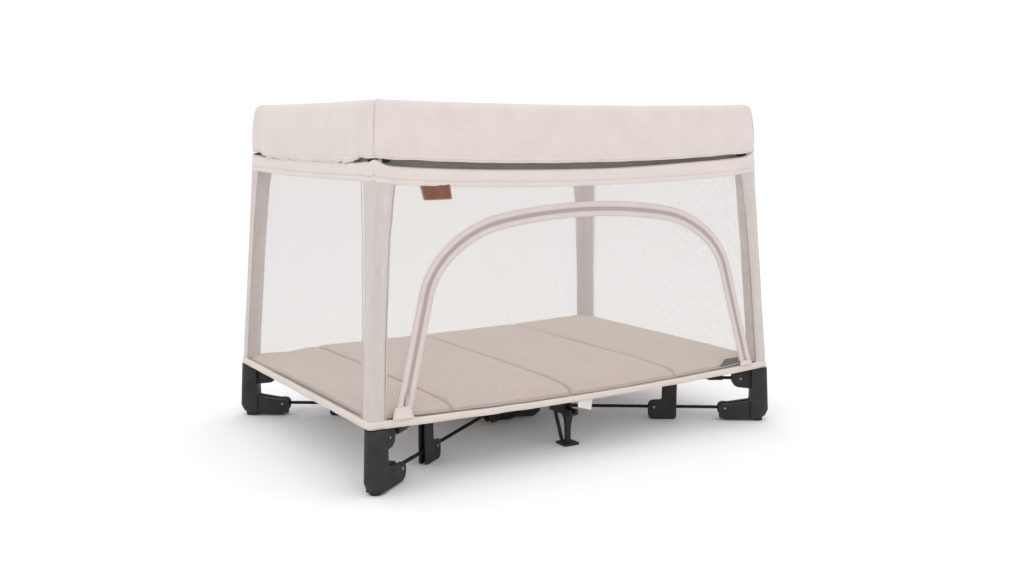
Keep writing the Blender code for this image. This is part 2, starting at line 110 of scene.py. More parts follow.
class Finish:
    """A Principled material and short ways to wire its nodes."""

    def __init__(self, name, colour, roughness, **sockets):
        self.material = bpy.data.materials.new(name)
        self.material.use_nodes = True
        self.tree = self.material.node_tree
        self.shader = self.tree.nodes["Principled BSDF"]
        self.shader.inputs["Base Color"].default_value = (*colour, 1.0)
        self.shader.inputs["Roughness"].default_value = roughness
        for socket, value in sockets.items():
            self.shader.inputs[socket.replace("_", " ")].default_value = value

    def node(self, kind, **settings):
        made = self.tree.nodes.new("ShaderNode" + kind)
        for key, value in settings.items():
            if key in made.inputs:
                made.inputs[key].default_value = value
            elif key.replace("_", " ") in made.inputs:
                made.inputs[key.replace("_", " ")].default_value = value
            else:
                setattr(made, key, value)
        return made

    def link(self, source, target):
        self.tree.links.new(source, target)

    def math(self, operation, first, second=0.5):
        made = self.node("Math", operation=operation)
        for socket, value in zip(made.inputs, (first, second)):
            if isinstance(value, (int, float)):
                socket.default_value = value
            else:
                self.link(value, socket)
        return made.outputs[0]

    def place(self, source, scale=(1, 1, 1), turn=0.0):
        coordinates = self.node("TexCoord")
        mapping = self.node("Mapping", Scale=scale, Rotation=(0, 0, turn))
        self.link(coordinates.outputs[source], mapping.inputs["Vector"])
        return mapping.outputs["Vector"]

    def ramp(self, source, *stops):
        made = self.node("ValToRGB")
        elements = made.color_ramp.elements
        while len(elements) < len(stops):
            elements.new(0.5)
        for element, (position, colour) in zip(elements, stops):
            element.position = position
            element.color = (*colour, 1.0) if isinstance(colour, tuple) else (colour, colour, colour, 1.0)
        self.link(source, made.inputs["Fac"])
        return made.outputs["Color"]

    def noise(self, vector, scale, detail=3.0, rough=0.5):
        made = self.node("TexNoise", Scale=scale, Detail=detail, Roughness=rough)
        self.link(vector, made.inputs["Vector"])
        return made.outputs["Fac"]

    def wave(self, vector, scale, direction, distortion):
        made = self.node("TexWave", Scale=scale, Distortion=distortion, bands_direction=direction)
        self.link(vector, made.inputs["Vector"])
        return made.outputs["Fac"]

    def mix(self, factor, first, second):
        made = self.node("Mix", data_type="RGBA")
        sockets = made.inputs["Factor"], made.inputs[6], made.inputs[7]  # the last two are its colours
        for socket, value in zip(sockets, (factor, first, second)):
            if isinstance(value, tuple):
                socket.default_value = (*value, 1.0)
            elif isinstance(value, (int, float)):
                socket.default_value = value
            else:
                self.link(value, socket)
        return made.outputs[2]

    def bump(self, height, strength, distance, below=None):
        made = self.node("Bump", Strength=strength, Distance=distance)
        self.link(height, made.inputs["Height"])
        if below is not None:
            self.link(below, made.inputs["Normal"])
        return made.outputs["Normal"]

    def stitches(self, vector, rows):
        """1 on short dashes along U, in thin rows at the given V in metres."""
        axes = self.node("SeparateXYZ")
        self.link(vector, axes.inputs[0])
        line = None
        for row in rows:
            away = self.math("ABSOLUTE", self.math("SUBTRACT", axes.outputs["Y"], row))
            near = self.math("LESS_THAN", away, STITCH_HALF)
            line = near if line is None else self.math("MAXIMUM", line, near)
        along = self.math("PINGPONG", axes.outputs["X"], STITCH_PITCH / 2)
        dash = self.math("LESS_THAN", along, STITCH_PITCH * STITCH_SHARE / 2)
        return self.math("MULTIPLY", line, dash)

    def colour(self, source):
        self.link(source, self.shader.inputs["Base Color"])

    def normal(self, source):
        self.link(source, self.shader.inputs["Normal"])

    def roughness(self, source):
        self.link(source, self.shader.inputs["Roughness"])


def shade(colour, factor):
    return tuple(min(1.0, c * factor) for c in colour)


def bands(period):
    """The scale that gives a wave texture one band in each period, in metres."""
    return math.pi / 10 / period


def woven(name, colour, thread=0.0009, strength=0.35, rows=()):
    """Plain-woven cloth: crossing threads, a soft mottle, slow creases, and rows of stitches at given V."""
    made = Finish(name, colour, 0.92, Sheen_Weight=0.25, Sheen_Roughness=0.5, Specular_IOR_Level=0.25)
    spot = made.place("UV")
    warp, weft = (made.wave(spot, bands(thread), way, 0.4) for way in "XY")
    threads = made.math("MAXIMUM", warp, weft)
    mottle = made.noise(spot, 14.0, 4.0, 0.6)
    speckle = made.noise(spot, 900.0, 2.0, 0.7)
    tone = made.ramp(mottle, (0.30, shade(colour, 0.95)), (0.70, shade(colour, 1.05)))
    tone = made.mix(made.math("MULTIPLY", speckle, 0.22), tone, shade(colour, 0.80))
    gaps = made.math("SUBTRACT", 1.0, threads)
    tone = made.mix(made.math("MULTIPLY", gaps, 0.30), tone, shade(colour, 0.72))
    normal = made.bump(made.noise(spot, 22.0, 3.0, 0.5), 0.25, 0.004)
    if rows:
        stitched = made.stitches(spot, rows)
        tone = made.mix(made.math("MULTIPLY", stitched, 0.55), tone, shade(colour, 0.55))
        normal = made.bump(stitched, -0.6, 0.0008, normal)
    made.colour(tone)
    made.normal(made.bump(threads, strength, 0.0004, normal))
    made.roughness(made.ramp(speckle, (0.2, 0.86), (0.8, 0.97)))
    return made.material


def netting(name, colour, cell, thread, hole, full, streaks=0.0):
    """Open net with diamond holes. It hides from hole to full, as a share, of what is behind it."""
    made = Finish(name, colour, 0.85, Sheen_Weight=0.15, Specular_IOR_Level=0.2)
    spot = made.place("UV", (1 / cell, 1 / cell, 1.0), math.radians(45))
    flat_cells = {"feature": "DISTANCE_TO_EDGE", "voronoi_dimensions": "2D"}
    cells = made.node("TexVoronoi", **flat_cells, Scale=1.0, Randomness=0.12)
    made.link(spot, cells.inputs["Vector"])
    edge = cells.outputs["Distance"]
    share = thread / cell / 2
    flat = made.place("UV")
    cover = made.ramp(edge, (share * 0.7, full), (share * 1.4, hole))
    if streaks:
        folds = made.noise(made.place("UV", (160.0, 9.0, 1.0)), 1.0, 3.0, 0.6)
        cover = made.mix(made.math("MULTIPLY", folds, streaks), cover, (1.0, 1.0, 1.0))
    made.link(cover, made.shader.inputs["Alpha"])
    tone = made.ramp(made.noise(flat, 10.0, 3.0), (0.3, shade(colour, 0.96)), (0.7, shade(colour, 1.03)))
    tone = made.mix(made.math("MULTIPLY", made.noise(flat, 1500.0, 2.0), 0.25), tone, shade(colour, 0.82))
    if streaks:
        # Paler and darker streaks along the folds are painted highlight and painted shade.
        fold_shading = made.noise(made.place("UV", (260.0, 22.0, 1.0)), 1.0, 4.0, 0.7)
        tone = made.mix(made.ramp(fold_shading, (0.56, 0.0), (0.72, streaks * 2)), tone, shade(colour, 1.35))
        tone = made.mix(made.ramp(fold_shading, (0.30, streaks), (0.45, 0.0)), tone, shade(colour, 0.72))
    made.colour(tone)
    made.normal(made.bump(edge, 0.4, 0.0003))
    return made.material


def ribbed(name, colour, rib, across, strength=0.6):
    """Ribbed tape or webbing."""
    made = Finish(name, colour, 0.88, Sheen_Weight=0.2, Specular_IOR_Level=0.25)
    spot = made.place("UV")
    ribs = made.wave(spot, bands(rib), across, 0.2)
    fine = made.noise(spot, 1200.0, 2.0, 0.6)
    grooves = made.math("SUBTRACT", 1.0, ribs)
    tone = made.mix(made.math("MULTIPLY", grooves, 0.28), colour, shade(colour, 0.74))
    tone = made.mix(made.math("MULTIPLY", fine, 0.2), tone, shade(colour, 0.8))
    made.colour(tone)
    made.normal(made.bump(fine, 0.2, 0.0003, made.bump(ribs, strength, 0.0005)))
    return made.material


def moulded(name, colour, rough=0.52):
    """Fine-grained moulded plastic with paler rubbed patches."""
    made = Finish(name, colour, rough, Specular_IOR_Level=0.28)
    spot = made.place("Object")
    grain = made.noise(spot, 1400.0, 2.0, 0.6)
    rub = made.noise(spot, 30.0, 4.0, 0.6)
    made.colour(made.ramp(rub, (0.35, shade(colour, 0.88)), (0.72, shade(colour, 1.25))))
    made.normal(made.bump(grain, 0.35, 0.00025))
    made.roughness(made.ramp(rub, (0.3, rough + 0.08), (0.75, rough - 0.07)))
    return made.material


def painted(name, colour, rough, metallic=0.0):
    """Painted or plated metal tube with faint drawn lines."""
    made = Finish(name, colour, rough, Metallic=metallic, Specular_IOR_Level=0.3)
    spot = made.place("Object")
    wear = made.noise(spot, 45.0, 5.0, 0.6)
    made.colour(made.ramp(wear, (0.4, shade(colour, 0.9)), (0.75, shade(colour, 1.3))))
    made.normal(made.bump(made.noise(spot, 600.0, 2.0), 0.15, 0.0002))
    made.roughness(made.ramp(wear, (0.3, rough + 0.08), (0.7, rough - 0.06)))
    return made.material


def hide(name, colour):
    """Smooth leather with a pebble grain."""
    made = Finish(name, colour, 0.48, Specular_IOR_Level=0.4)
    spot = made.place("Object")
    cells = made.node("TexVoronoi", feature="DISTANCE_TO_EDGE", Scale=900.0)
    made.link(spot, cells.inputs["Vector"])
    cloud = made.noise(spot, 60.0, 4.0, 0.6)
    made.colour(made.ramp(cloud, (0.3, shade(colour, 0.82)), (0.7, shade(colour, 1.15))))
    made.normal(made.bump(cells.outputs["Distance"], 0.3, 0.0003))
    made.roughness(made.ramp(cloud, (0.3, 0.56), (0.7, 0.42)))
    return made.material


COVER_CLOTH = woven("cover_cloth", (0.735, 0.655, 0.622), rows=(0.0135,))
BAND_CLOTH = woven("band_cloth", (0.750, 0.668, 0.632), rows=(0.0125, 0.0365))
HEM_CLOTH = woven("hem_cloth", (0.745, 0.660, 0.610), rows=(0.0080, 0.0215))
# The lining's dark colour is painted shade, for the deep gap under the cover.
LINING_SHADE_CLOTH = woven("lining_painted_shade", (0.330, 0.292, 0.275), 0.0008)
SEAM_CLOTH = woven("seam_cloth", (0.690, 0.610, 0.575), 0.0006)
SLEEVE_CLOTH = netting("sleeve_net", (0.680, 0.618, 0.588), 0.0016, 0.00105, 0.26, 0.86, 0.38)
WALL_NET = netting("wall_net", (0.540, 0.490, 0.462), 0.0026, 0.00055, 0.09, 0.50)
TAPE = woven("door_tape", (0.690, 0.600, 0.575), 0.0010, 0.4, rows=(-0.0148, -0.0054, 0.0054, 0.0148))
ZIP_TEETH = ribbed("zip_teeth", (0.500, 0.420, 0.395), 0.0020, "X", 1.0)
PAD_CLOTH = woven("mattress_cloth", (0.660, 0.556, 0.486), 0.0012, 0.5)
FLOOR_CLOTH = woven("floor_cloth", (0.720, 0.690, 0.672))
CHARCOAL = moulded("charcoal_plastic_grain", (0.0255, 0.0255, 0.0262), 0.60)
SOCKET_BLACK = moulded("socket_plastic", (0.012, 0.012, 0.012))
BAR_PAINT = painted("black_bar_paint", (0.006, 0.006, 0.0065), 0.62)
TUBE_METAL = painted("tube_metal", (0.42, 0.42, 0.42), 0.35, 0.85)
RIVET_STEEL = painted("rivet_steel", (0.30, 0.30, 0.31), 0.30, 0.9)
LEATHER = hide("tag_leather", (0.190, 0.072, 0.040))
LEATHER_EDGE = hide("tag_leather_edge", (0.560, 0.330, 0.205))
SATIN = woven("label_satin", (0.70, 0.67, 0.67), 0.0005, 0.15)
WEBBING = ribbed("tab_webbing", (0.022, 0.019, 0.018), 0.0016, "Y")
STRAP_WEBBING = ribbed("strap_webbing", (0.020, 0.020, 0.020), 0.0016, "Y")
SLIDER_METAL = painted("slider_metal", (0.50, 0.44, 0.41), 0.3, 0.8)

# Making pieces -----------------------------------------------

CUT_AREAS = {}  # each cloth piece's own area, before its thickness


def finish_piece(name, bm, material, smooth):
    """Make the object, give it its material and shade it smooth up to an angle in degrees."""
    mesh = bpy.data.meshes.new(name)
    bm.to_mesh(mesh)
    bm.free()
    return link_piece(name, mesh, material, smooth)


def link_piece(name, mesh, material, smooth):
    made = bpy.data.objects.new(name, mesh)
    bpy.context.scene.collection.objects.link(made)
    mesh.materials.clear()
    mesh.materials.append(material)
    mesh.shade_smooth()
    if smooth < 180:
        mesh.set_sharp_from_angle(angle=math.radians(smooth))
    return made


def settle(piece, smooth=50.0):
    """Apply the piece's modifiers, and keep the edges of its rims crisp."""
    whole = bpy.data.meshes.new_from_object(piece.evaluated_get(bpy.context.evaluated_depsgraph_get()))
    piece.modifiers.clear()
    piece.data = whole
    whole.shade_smooth()
    whole.set_sharp_from_angle(angle=math.radians(smooth))
    return piece


def dress(pieces, body):
    """Put pieces on a body."""
    for piece in pieces:
        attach(piece, body)


def cloth_grid(name, columns, rows, place, material, thick=0.0, rounds=0):
    """A grid of cloth. place(i, j) gives a point and its flat place in metres."""
    bm = bmesh.new()
    bmesh.ops.create_grid(bm, x_segments=columns, y_segments=rows, size=0.5)
    spots = {}
    for v in bm.verts:
        i, j = round((v.co.x + 0.5) * columns), round((v.co.y + 0.5) * rows)
        v.co, spots[v.index] = place(i / columns, j / rows)
    layer = bm.loops.layers.uv.new("UVMap")
    for f in bm.faces:
        for loop in f.loops:
            loop[layer].uv = spots[loop.vert.index]
    bmesh.ops.remove_doubles(bm, verts=bm.verts, dist=0.00002)
    CUT_AREAS[name] = sum(f.calc_area() for f in bm.faces)
    made = finish_piece(name, bm, material, 180)
    if rounds:
        step = made.modifiers.new("soften", "SUBSURF")
        step.levels = step.render_levels = rounds
    if thick:
        wall = made.modifiers.new("thickness", "SOLIDIFY")
        wall.thickness = thick
        wall.offset = 0.0
    return settle(made) if rounds or thick else made


def cut_cloth(piece, width, length):
    """Work out a sheet's width from the area that its own faces add up to; the result is kept nowhere."""
    area = CUT_AREAS[piece.name]
    width = max(width, area / length)


def bead(name, points, radius, material, closed=False):
    """A round cord of cloth, thread or metal through points."""
    curve = bpy.data.curves.new(name, "CURVE")
    curve.dimensions = "3D"
    line = curve.splines.new("POLY")
    line.points.add(len(points) - 1)
    for spot, point in zip(line.points, points):
        spot.co = (*point, 1.0)
    line.use_cyclic_u = closed
    curve.bevel_depth = radius
    curve.bevel_resolution = 2
    curve.use_fill_caps = True
    guide = bpy.data.objects.new(name, curve)
    mesh = bpy.data.meshes.new_from_object(guide)
    bpy.data.objects.remove(guide)
    bpy.data.curves.remove(curve)
    mesh.name = name
    return link_piece(name, mesh, material, 60)


def rounded(*corners):
    """An outline through (a, b, radius) corners, each rounded by its own radius."""
    points, steps = [], 6
    for i, (a, b, radius) in enumerate(corners):
        here = Vector((a, b))
        before = (Vector(corners[i - 1][:2]) - here).normalized()
        after = (Vector(corners[(i + 1) % len(corners)][:2]) - here).normalized()
        half = before.angle(after) / 2
        middle = here + (before + after).normalized() * radius / math.sin(half)
        spokes = [here + way * radius / math.tan(half) - middle for way in (before, after)]
        start, end = (math.atan2(spoke.y, spoke.x) for spoke in spokes)
        turn = (end - start + math.pi) % math.tau - math.pi
        points += [middle + radius * Vector((math.cos(t), math.sin(t)))
                   for t in (start + turn * k / steps for k in range(steps + 1))]
    return points


def inset(outline, distance):
    """An outline moved towards its own middle."""
    middle = sum((Vector(p) for p in outline), Vector((0, 0))) / len(outline)
    return [Vector(p) + (middle - Vector(p)).normalized() * distance * 1.3 for p in outline]


def plate(name, outline, place, thick, material, soft):
    """A flat plate with soft edges. place(a, across, b) gives a point, and across goes from 0 to thick."""
    bm = bmesh.new()
    bm.faces.new([bm.verts.new((a, 0.0, b)) for a, b in outline])
    grown = bmesh.ops.extrude_face_region(bm, geom=bm.faces[:])["geom"]
    bmesh.ops.translate(bm, vec=(0, thick, 0), verts=[g for g in grown if isinstance(g, bmesh.types.BMVert)])
    rims = [e for e in bm.edges if len(e.link_faces) == 2 and e.calc_face_angle() > 1.2]
    bmesh.ops.bevel(bm, geom=rims, offset=soft, segments=2, profile=0.5, affect="EDGES", material=-1)
    for v in bm.verts:
        v.co = place(*v.co)
    bmesh.ops.recalc_face_normals(bm, faces=bm.faces)
    layer = bm.loops.layers.uv.new("UVMap")
    for f in bm.faces:
        for loop in f.loops:
            loop[layer].uv = (loop.vert.co.x, loop.vert.co.z)
    return finish_piece(name, bm, material, 35)


def smooth_step(t):
    t = min(1.0, max(0.0, t))
    return t * t * (3 - 2 * t)


def mix(a, b, t):
    return a + (b - a) * t


def ripple(a, z, seed, size):
    """Smooth noise in metres of cloth, from about -1 to 1."""
    return noise.noise(Vector((a / size, z / size, seed)))


# Strips of cloth round the fabric box ------------------------

CORNER_RUN = 0.120  # about the distance round a corner piece
WHOLE_RUN = JOIN_X + CORNER_RUN + JOIN_Y  # from the middle of a long side to the middle of a short one
HALF_LONG, HALF_SHORT = 0.50, 0.34


def bow(face, a):
    """1 in the middle of a side and 0 at its corners."""
    return max(0.0, 1 - (a / (HALF_LONG if face in ("front", "back") else HALF_SHORT)) ** 2)


def off_middle(run):
    """0 at the middles of the sides, where two pieces meet, and 1 elsewhere."""
    return smooth_step(min(run, WHOLE_RUN - run) / 0.02)


def off_corner(run):
    return abs(run - JOIN_X - CORNER_RUN / 2)


def around_corner(q, z, depth, radius):
    """A point on the way round a corner piece, for the +X +Y corner."""
    x, y = half_sizes(z)
    x, y, r = x - depth, y - depth, max(radius - depth, 0.002)
    first, bend, last = x - r - JOIN_X, r * math.pi / 2, y - r - JOIN_Y
    s = q * (first + bend + last)
    if s <= first:
        return JOIN_X + s, y
    if s >= first + bend:
        return x, y - r - (s - first - bend)
    angle = (s - first) / r
    return x - r + r * math.sin(angle), y - r + r * math.cos(angle)


def cloth_strips(kind, corner, section, material, columns, thick, shape, radius=0.012, rounds=0):
    """A strip of cloth round a corner in three pieces: long side, corner and short side.

    section is a list of (depth, z). shape(run, bow, z, depth) gives a point's moves inwards and down."""
    sx, sy = CORNERS[corner]
    long_face, short_face = faces_of(corner)
    lengths = [0.0]
    for (d0, z0), (d1, z1) in zip(section, section[1:]):
        lengths.append(lengths[-1] + math.hypot(d1 - d0, z1 - z0))

    def place(part, i, j):
        k = round(j * (len(section) - 1))
        depth, z = section[k]
        if part == "long":
            run, share = i * JOIN_X, bow(long_face, i * JOIN_X)
        elif part == "short":
            a = (1 - i) * JOIN_Y
            run, share = WHOLE_RUN - a, bow(short_face, a)
        else:
            x, y = around_corner(i, z, depth, radius)
            run = JOIN_X + i * CORNER_RUN
            share = bow(long_face, x) if i < 0.5 else bow(short_face, y)
        push, drop = shape(run, share, z, depth)
        if part == "long":
            x, y = run, half_sizes(z)[1] - depth - push
        elif part == "short":
            x, y = half_sizes(z)[0] - depth - push, WHOLE_RUN - run
        else:
            x, y = around_corner(i, z, depth + push, radius)
        return Vector((sx * x, sy * y, z - drop)), (run, lengths[k])

    made = {}
    for part in ("long", "corner", "short"):
        name = f"{kind}_{part}_{corner}"
        put = functools.partial(place, part)
        piece = cloth_grid(name, columns[part], len(section) - 1, put, material, thick, rounds)
        made[part] = ride_corner(piece, corner, part, JOIN_X, JOIN_Y)
    return made


def ride_corner(piece, corner, part, from_x, from_y):
    """A side piece goes with its corner, and a long or short piece gets its own mesh."""
    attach(piece, f"corner_{corner}")
    if part == "long":
        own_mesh(piece)
    if part == "short":
        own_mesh(piece)
    return piece


def declare_strips(strips, length):
    for part, piece in strips.items():
        width = {"long": JOIN_X, "short": JOIN_Y, "corner": CORNER_RUN}[part]
        cut_cloth(piece, width, length)


# Rail cover, band and hem ------------------------------------

SIDE_COLUMNS = {"long": 130, "corner": 44, "short": 96}
COVER_DEEP, COVER_TURN = 0.047, 0.017  # how thick the padded rail is, and the radius of its top edges
COVER_ROUND = 0.016  # the cover's radius at the playpen's corners, seen from above
# Profiles as (depth, height): from a strip's foot, and from its top
COVER_OUTSIDE = ((0.0062, 0.0050), (0.0030, 0.0008), (0.0004, -0.0004), (-0.0016, 0.0010), (-0.0022, 0.0050),
                 (-0.0018, 0.0090), (-0.0012, 0.0105), (-0.0024, 0.0130), (-0.0036, 0.020), (-0.0044, 0.032),
                 (-0.0044, 0.048), (-0.0040, 0.062), (-0.0030, 0.076), (-0.0018, 0.088))
COVER_STEPS = (0.030, 0.046, 0.062, 0.078, 0.092, 0.102)  # down the cover's inside
BAND_FOOT = ((0.0024, 0.0012), (0.0012, 0.0), (0.0002, 0.0012), (-0.0004, 0.006), (-0.0004, 0.0095),
             (0.0004, 0.0110), (-0.0005, 0.0130), (-0.0012, 0.018), (-0.0013, 0.024))
BAND_HEAD = ((-0.0006, -0.004), (0.0006, -0.0006), (0.0028, 0.0004), (0.0060, 0.0010))
LINING = ((0.0040, 0.0), (0.0090, 0.0010), (0.0140, 0.0022), (0.0170, 0.005), (0.0176, 0.009),
          (0.0176, 0.014), (0.0176, 0.026))
HEM_FOOT = ((0.0042, 0.0030), (0.0030, 0.0004), (0.0012, 0.0), (0.0000, 0.0016), (-0.0008, 0.0045),
            (-0.0002, 0.0060), (-0.0009, 0.0080))
HEM_HEAD = ((-0.0010, -0.0055), (-0.0008, -0.0030), (0.0000, -0.0012), (0.0010, 0.0), (0.0026, -0.0006))


def raised(profile, foot):
    """A profile as (depth, z), from its (depth, height) and the z of its foot or top."""
    return [(depth, foot + up) for depth, up in profile]


def corner_seam(run, z, deep, pitch, wide):
    """How far cloth goes in beside a corner's seam in small puckers, and at the seam itself."""
    puckers = deep * math.sin(z * math.tau / pitch) * math.exp(-(off_corner(run) / wide) ** 2)
    return puckers, 0.0012 * math.exp(-(off_corner(run) / 0.0022) ** 2)


def cover_section():
    """The cover's profile as (depth, z), from its outer elastic edge over the top to the inner edge."""
    low, high, turn = COVER_LOW.z, TOP_Z, COVER_TURN
    angles = [k / 6 * math.pi / 2 for k in range(7)]
    section = raised(COVER_OUTSIDE, low)
    section += [(turn - 0.001 - turn * math.cos(t), high - turn + turn * math.sin(t)) for t in angles]
    section += [(0.022, high + 0.0006), (0.029, high)]
    section += [(COVER_DEEP - turn + turn * math.sin(t), high - turn + turn * math.cos(t)) for t in angles]
    section += [(COVER_DEEP, high - step) for step in COVER_STEPS]
    return section + [(COVER_DEEP - 0.0008, low + 0.002), (COVER_DEEP - 0.0040, low + 0.0005)]


def cover_shape(run, share, z, depth):
    """Dents, gathers at the wavy elastic edge, most on the short sides, and a side that sags."""
    up = smooth_step((z - COVER_LOW.z) / (TOP_Z - COVER_LOW.z))
    low = max(0.0, 1 - 2.6 * (z - COVER_LOW.z) / (TOP_Z - COVER_LOW.z)) ** 1.5
    short = smooth_step((run - JOIN_X - CORNER_RUN * 0.55) / 0.05)
    free = off_middle(run)
    dents = 0.0016 * ripple(run, z, 1.5, 0.060) + 0.0006 * ripple(run, z, 7.5, 0.020)
    wander = math.sin(run * math.tau / 0.023 + 9 * ripple(run, 0.0, 3.5, 0.06))
    gathers = wander * mix(0.0007, 0.0030, short) * low**2.6
    puckers, seam = corner_seam(run, z, 0.0009, 0.011, 0.007)
    waves = mix(0.0010, 0.0062, short) * ripple(run, 0.0, 8.5, 0.050)
    waves += mix(0.0003, 0.0034, short) * ripple(run, 0.0, 5.5, 0.012)
    inside = 0.4 if depth > COVER_DEEP / 2 else 1.0
    sag = mix(0.016, mix(0.0065, 0.0025, short), up) * share
    return inside * (free * (dents + gathers) + puckers) + seam, sag + low * free * waves


def build_cover(corner):
    """The padded cover round the top rails, with a welt at its corner."""
    sx, sy = CORNERS[corner]
    section = cover_section()
    strips = cloth_strips("cover", corner, section, COVER_CLOTH, SIDE_COLUMNS, 0.0020, cover_shape,
                          COVER_ROUND, 1)
    welt = [(*around_corner(0.5, z, depth - 0.0001, COVER_ROUND), z) for depth, z in section[2:-2]]
    seam = bead(f"cover_seam_{corner}", [(sx * x, sy * y, z) for x, y, z in welt], 0.0009, SEAM_CLOTH)
    dress((seam,), f"corner_{corner}")
    declare_strips(strips, 0.262)
    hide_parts(f"cover_{corner}")


BAND_LOW = 0.611
STRIP_TALL = 0.034  # the band's doubled lower part


def side_sag(share, short):
    """How far the band's lower edge hangs: a long side sags, and a short one is nearly straight."""
    return mix(0.0215 * share**0.6, 0.0040 * share, short)


def band_shape(run, share, z, depth):
    """A sagging band, crumpled above its doubled part, drawn up at the corner and cut low beside it."""
    above = z - BAND_LOW - STRIP_TALL
    loose, hidden = smooth_step(above / 0.006), smooth_step((above - 0.0008) / 0.002)
    behind = smooth_step((above - 0.004) / 0.020)
    free = off_middle(run)
    short = smooth_step((run - JOIN_X - CORNER_RUN * 0.5) / 0.04)
    waves = 0.0009 * ripple(run, z, 2.5, 0.045) + 0.0006 * ripple(run + z, z - run, 6.5, 0.016)
    waves += hidden * mix(0.0, -0.006, short) * min(1.0, off_corner(run) / 0.02)
    crumple = loose * (0.0018 * ripple(run, z, 12.5, 0.016) + 0.0008 * ripple(run, z, 15.5, 0.007))
    notch = 0.018 * behind * math.exp(-((off_corner(run) - 0.038) / 0.010) ** 2)
    upper = smooth_step((z - BAND_LOW - 0.014) / 0.020) * (1 - behind)
    near = math.exp(-(off_corner(run) / mix(0.017, 0.034, short)) ** 2)
    lift = (COVER_LOW.z - BAND_LOW - STRIP_TALL - 0.0022) * upper * near
    puckers, seam = corner_seam(run, z, 0.0008, 0.010, 0.008)
    fall = side_sag(share, short) * (1 - 0.35 * behind) + notch - lift
    return free * (waves + crumple) + puckers + seam, fall


def build_band(corner):
    """The strip between the net and the cover, doubled and stitched below, and the lining behind it,
    coloured dark as painted shade for the gap under the cover.
    """

    def shape(run, share, z, depth):
        """The front right quarter of the band is pulled up, which narrows the gap under the cover."""
        out, fall = band_shape(run, share, z, depth)
        pulled = 0.0045 * smooth_step((run - 0.04) / 0.30) * off_middle(run) if corner == "fr" else 0.0
        return out, fall - pulled * smooth_step((z - BAND_LOW - 0.014) / 0.020)

    top = BAND_LOW + STRIP_TALL
    face = raised(BAND_FOOT, BAND_LOW) + raised(BAND_HEAD, top)
    for kind, section, cloth, thick, form, length in (
        ("band", face, BAND_CLOTH, 0.0011, shape, 0.044),
        ("lining", raised(LINING, top), LINING_SHADE_CLOTH, 0.0008, band_shape, 0.040),
    ):
        strips = cloth_strips(kind, corner, section, cloth, SIDE_COLUMNS, thick, form)
        declare_strips(strips, length)


HEM_SAG = 0.0105  # how far the hem and the floor's edge hang in the middle of a long side


def hem_drop(face, a):
    return HEM_SAG * bow(face, a) if face in ("front", "back") else 0.0


def build_hem(corner):
    """The folded strip round the foot of the walls."""
    low, high = HEM_BOTTOM, HEM_TOP - 0.002

    def shape(run, share, z, depth):
        drift = 0.0010 * ripple(run, 0, 4.5, 0.07) + 0.0004 * ripple(run, z, 9.5, 0.014)
        long = 1 - smooth_step((run - JOIN_X - CORNER_RUN * 0.4) / 0.04)
        fall = long * share * mix(HEM_SAG - 0.002, HEM_SAG + 0.001, (z - low) / (high - low))
        return off_middle(run) * drift, fall + off_middle(run) * 0.0007 * ripple(run, 0, 2.5, 0.05)

    section = raised(HEM_FOOT, low) + raised(HEM_HEAD, high)
    columns = {"long": 90, "corner": 32, "short": 64}
    strips = cloth_strips("hem", corner, section, HEM_CLOTH, columns, 0.0010, shape, 0.010)
    declare_strips(strips, 0.030)


def build_socket(corner):
    """The black socket round a post's top, seen between the band and the cover."""
    sx, sy = CORNERS[corner]
    x, y = half_sizes(0.650)
    low, high = Vector((x - 0.046, y - 0.046, 0.648)), Vector((x - 0.0075, y - 0.0075, 0.684))
    bm = bmesh.new()
    bmesh.ops.create_cube(bm, size=1.0)
    for v in bm.verts:
        v.co = Vector(mix(low[k], high[k], v.co[k] + 0.5) for k in range(3))
    upright = [e for e in bm.edges if abs(e.verts[0].co.z - e.verts[1].co.z) > 0.01]
    bmesh.ops.bevel(bm, geom=upright, offset=0.010, segments=5, profile=0.5, affect="EDGES", material=-1)
    flat = [f for f in bm.faces if abs(f.normal.z) > 0.9]
    bmesh.ops.inset_region(bm, faces=flat, thickness=0.003, depth=0.002)
    bmesh.ops.scale(bm, vec=(sx, sy, 1), verts=bm.verts)
    bmesh.ops.recalc_face_normals(bm, faces=bm.faces)
    piece = finish_piece(f"corner_socket_{corner}", bm, SOCKET_BLACK, 35)
    dress((piece,), f"corner_{corner}")


# Net walls ---------------------------------------------------

NET_ANCHOR = (0.490, 0.330)  # where the long and the short sides' nets stay with their corner
SLEEVE_WIDTHS = ((0.150, 0.037), (0.300, 0.037), (0.480, 0.041), (0.560, 0.047), (0.620, 0.052))


def sleeve_width(z):
    """How wide a corner sleeve is on each side, at a height."""
    for (z0, w0), (z1, w1) in zip(SLEEVE_WIDTHS, SLEEVE_WIDTHS[1:]):
        if z <= z1:
            return mix(w0, w1, smooth_step((z - z0) / (z1 - z0)))
    return SLEEVE_WIDTHS[-1][1]


def band_edge(face, a):
    """Height of the band's lower edge along a side."""
    return BAND_LOW + 0.003 - side_sag(bow(face, a), 0.0 if face in ("front", "back") else 1.0)


def billow(face, a, z):
    """Net hangs a few millimetres in and out of its plane."""
    half = 0.47 if face in ("front", "back") else 0.31
    edge = max(0.0, 1 - (a / half) ** 2) * max(0.0, 1 - ((z - 0.37) / 0.24) ** 2)
    seed = {"front": 1, "back": 2, "left": 3, "right": 4}[face]
    return edge * (0.006 + 0.004 * ripple(a, z, seed + 0.5, 0.18))


def net_edge(z):
    """How far the net reaches under a sleeve's edge, measured from the box's outer face."""
    return sleeve_width(z) - 0.004


def squash_front(piece):
    """Cloth and trim on one half of the front get their own mesh."""
    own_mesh(piece)


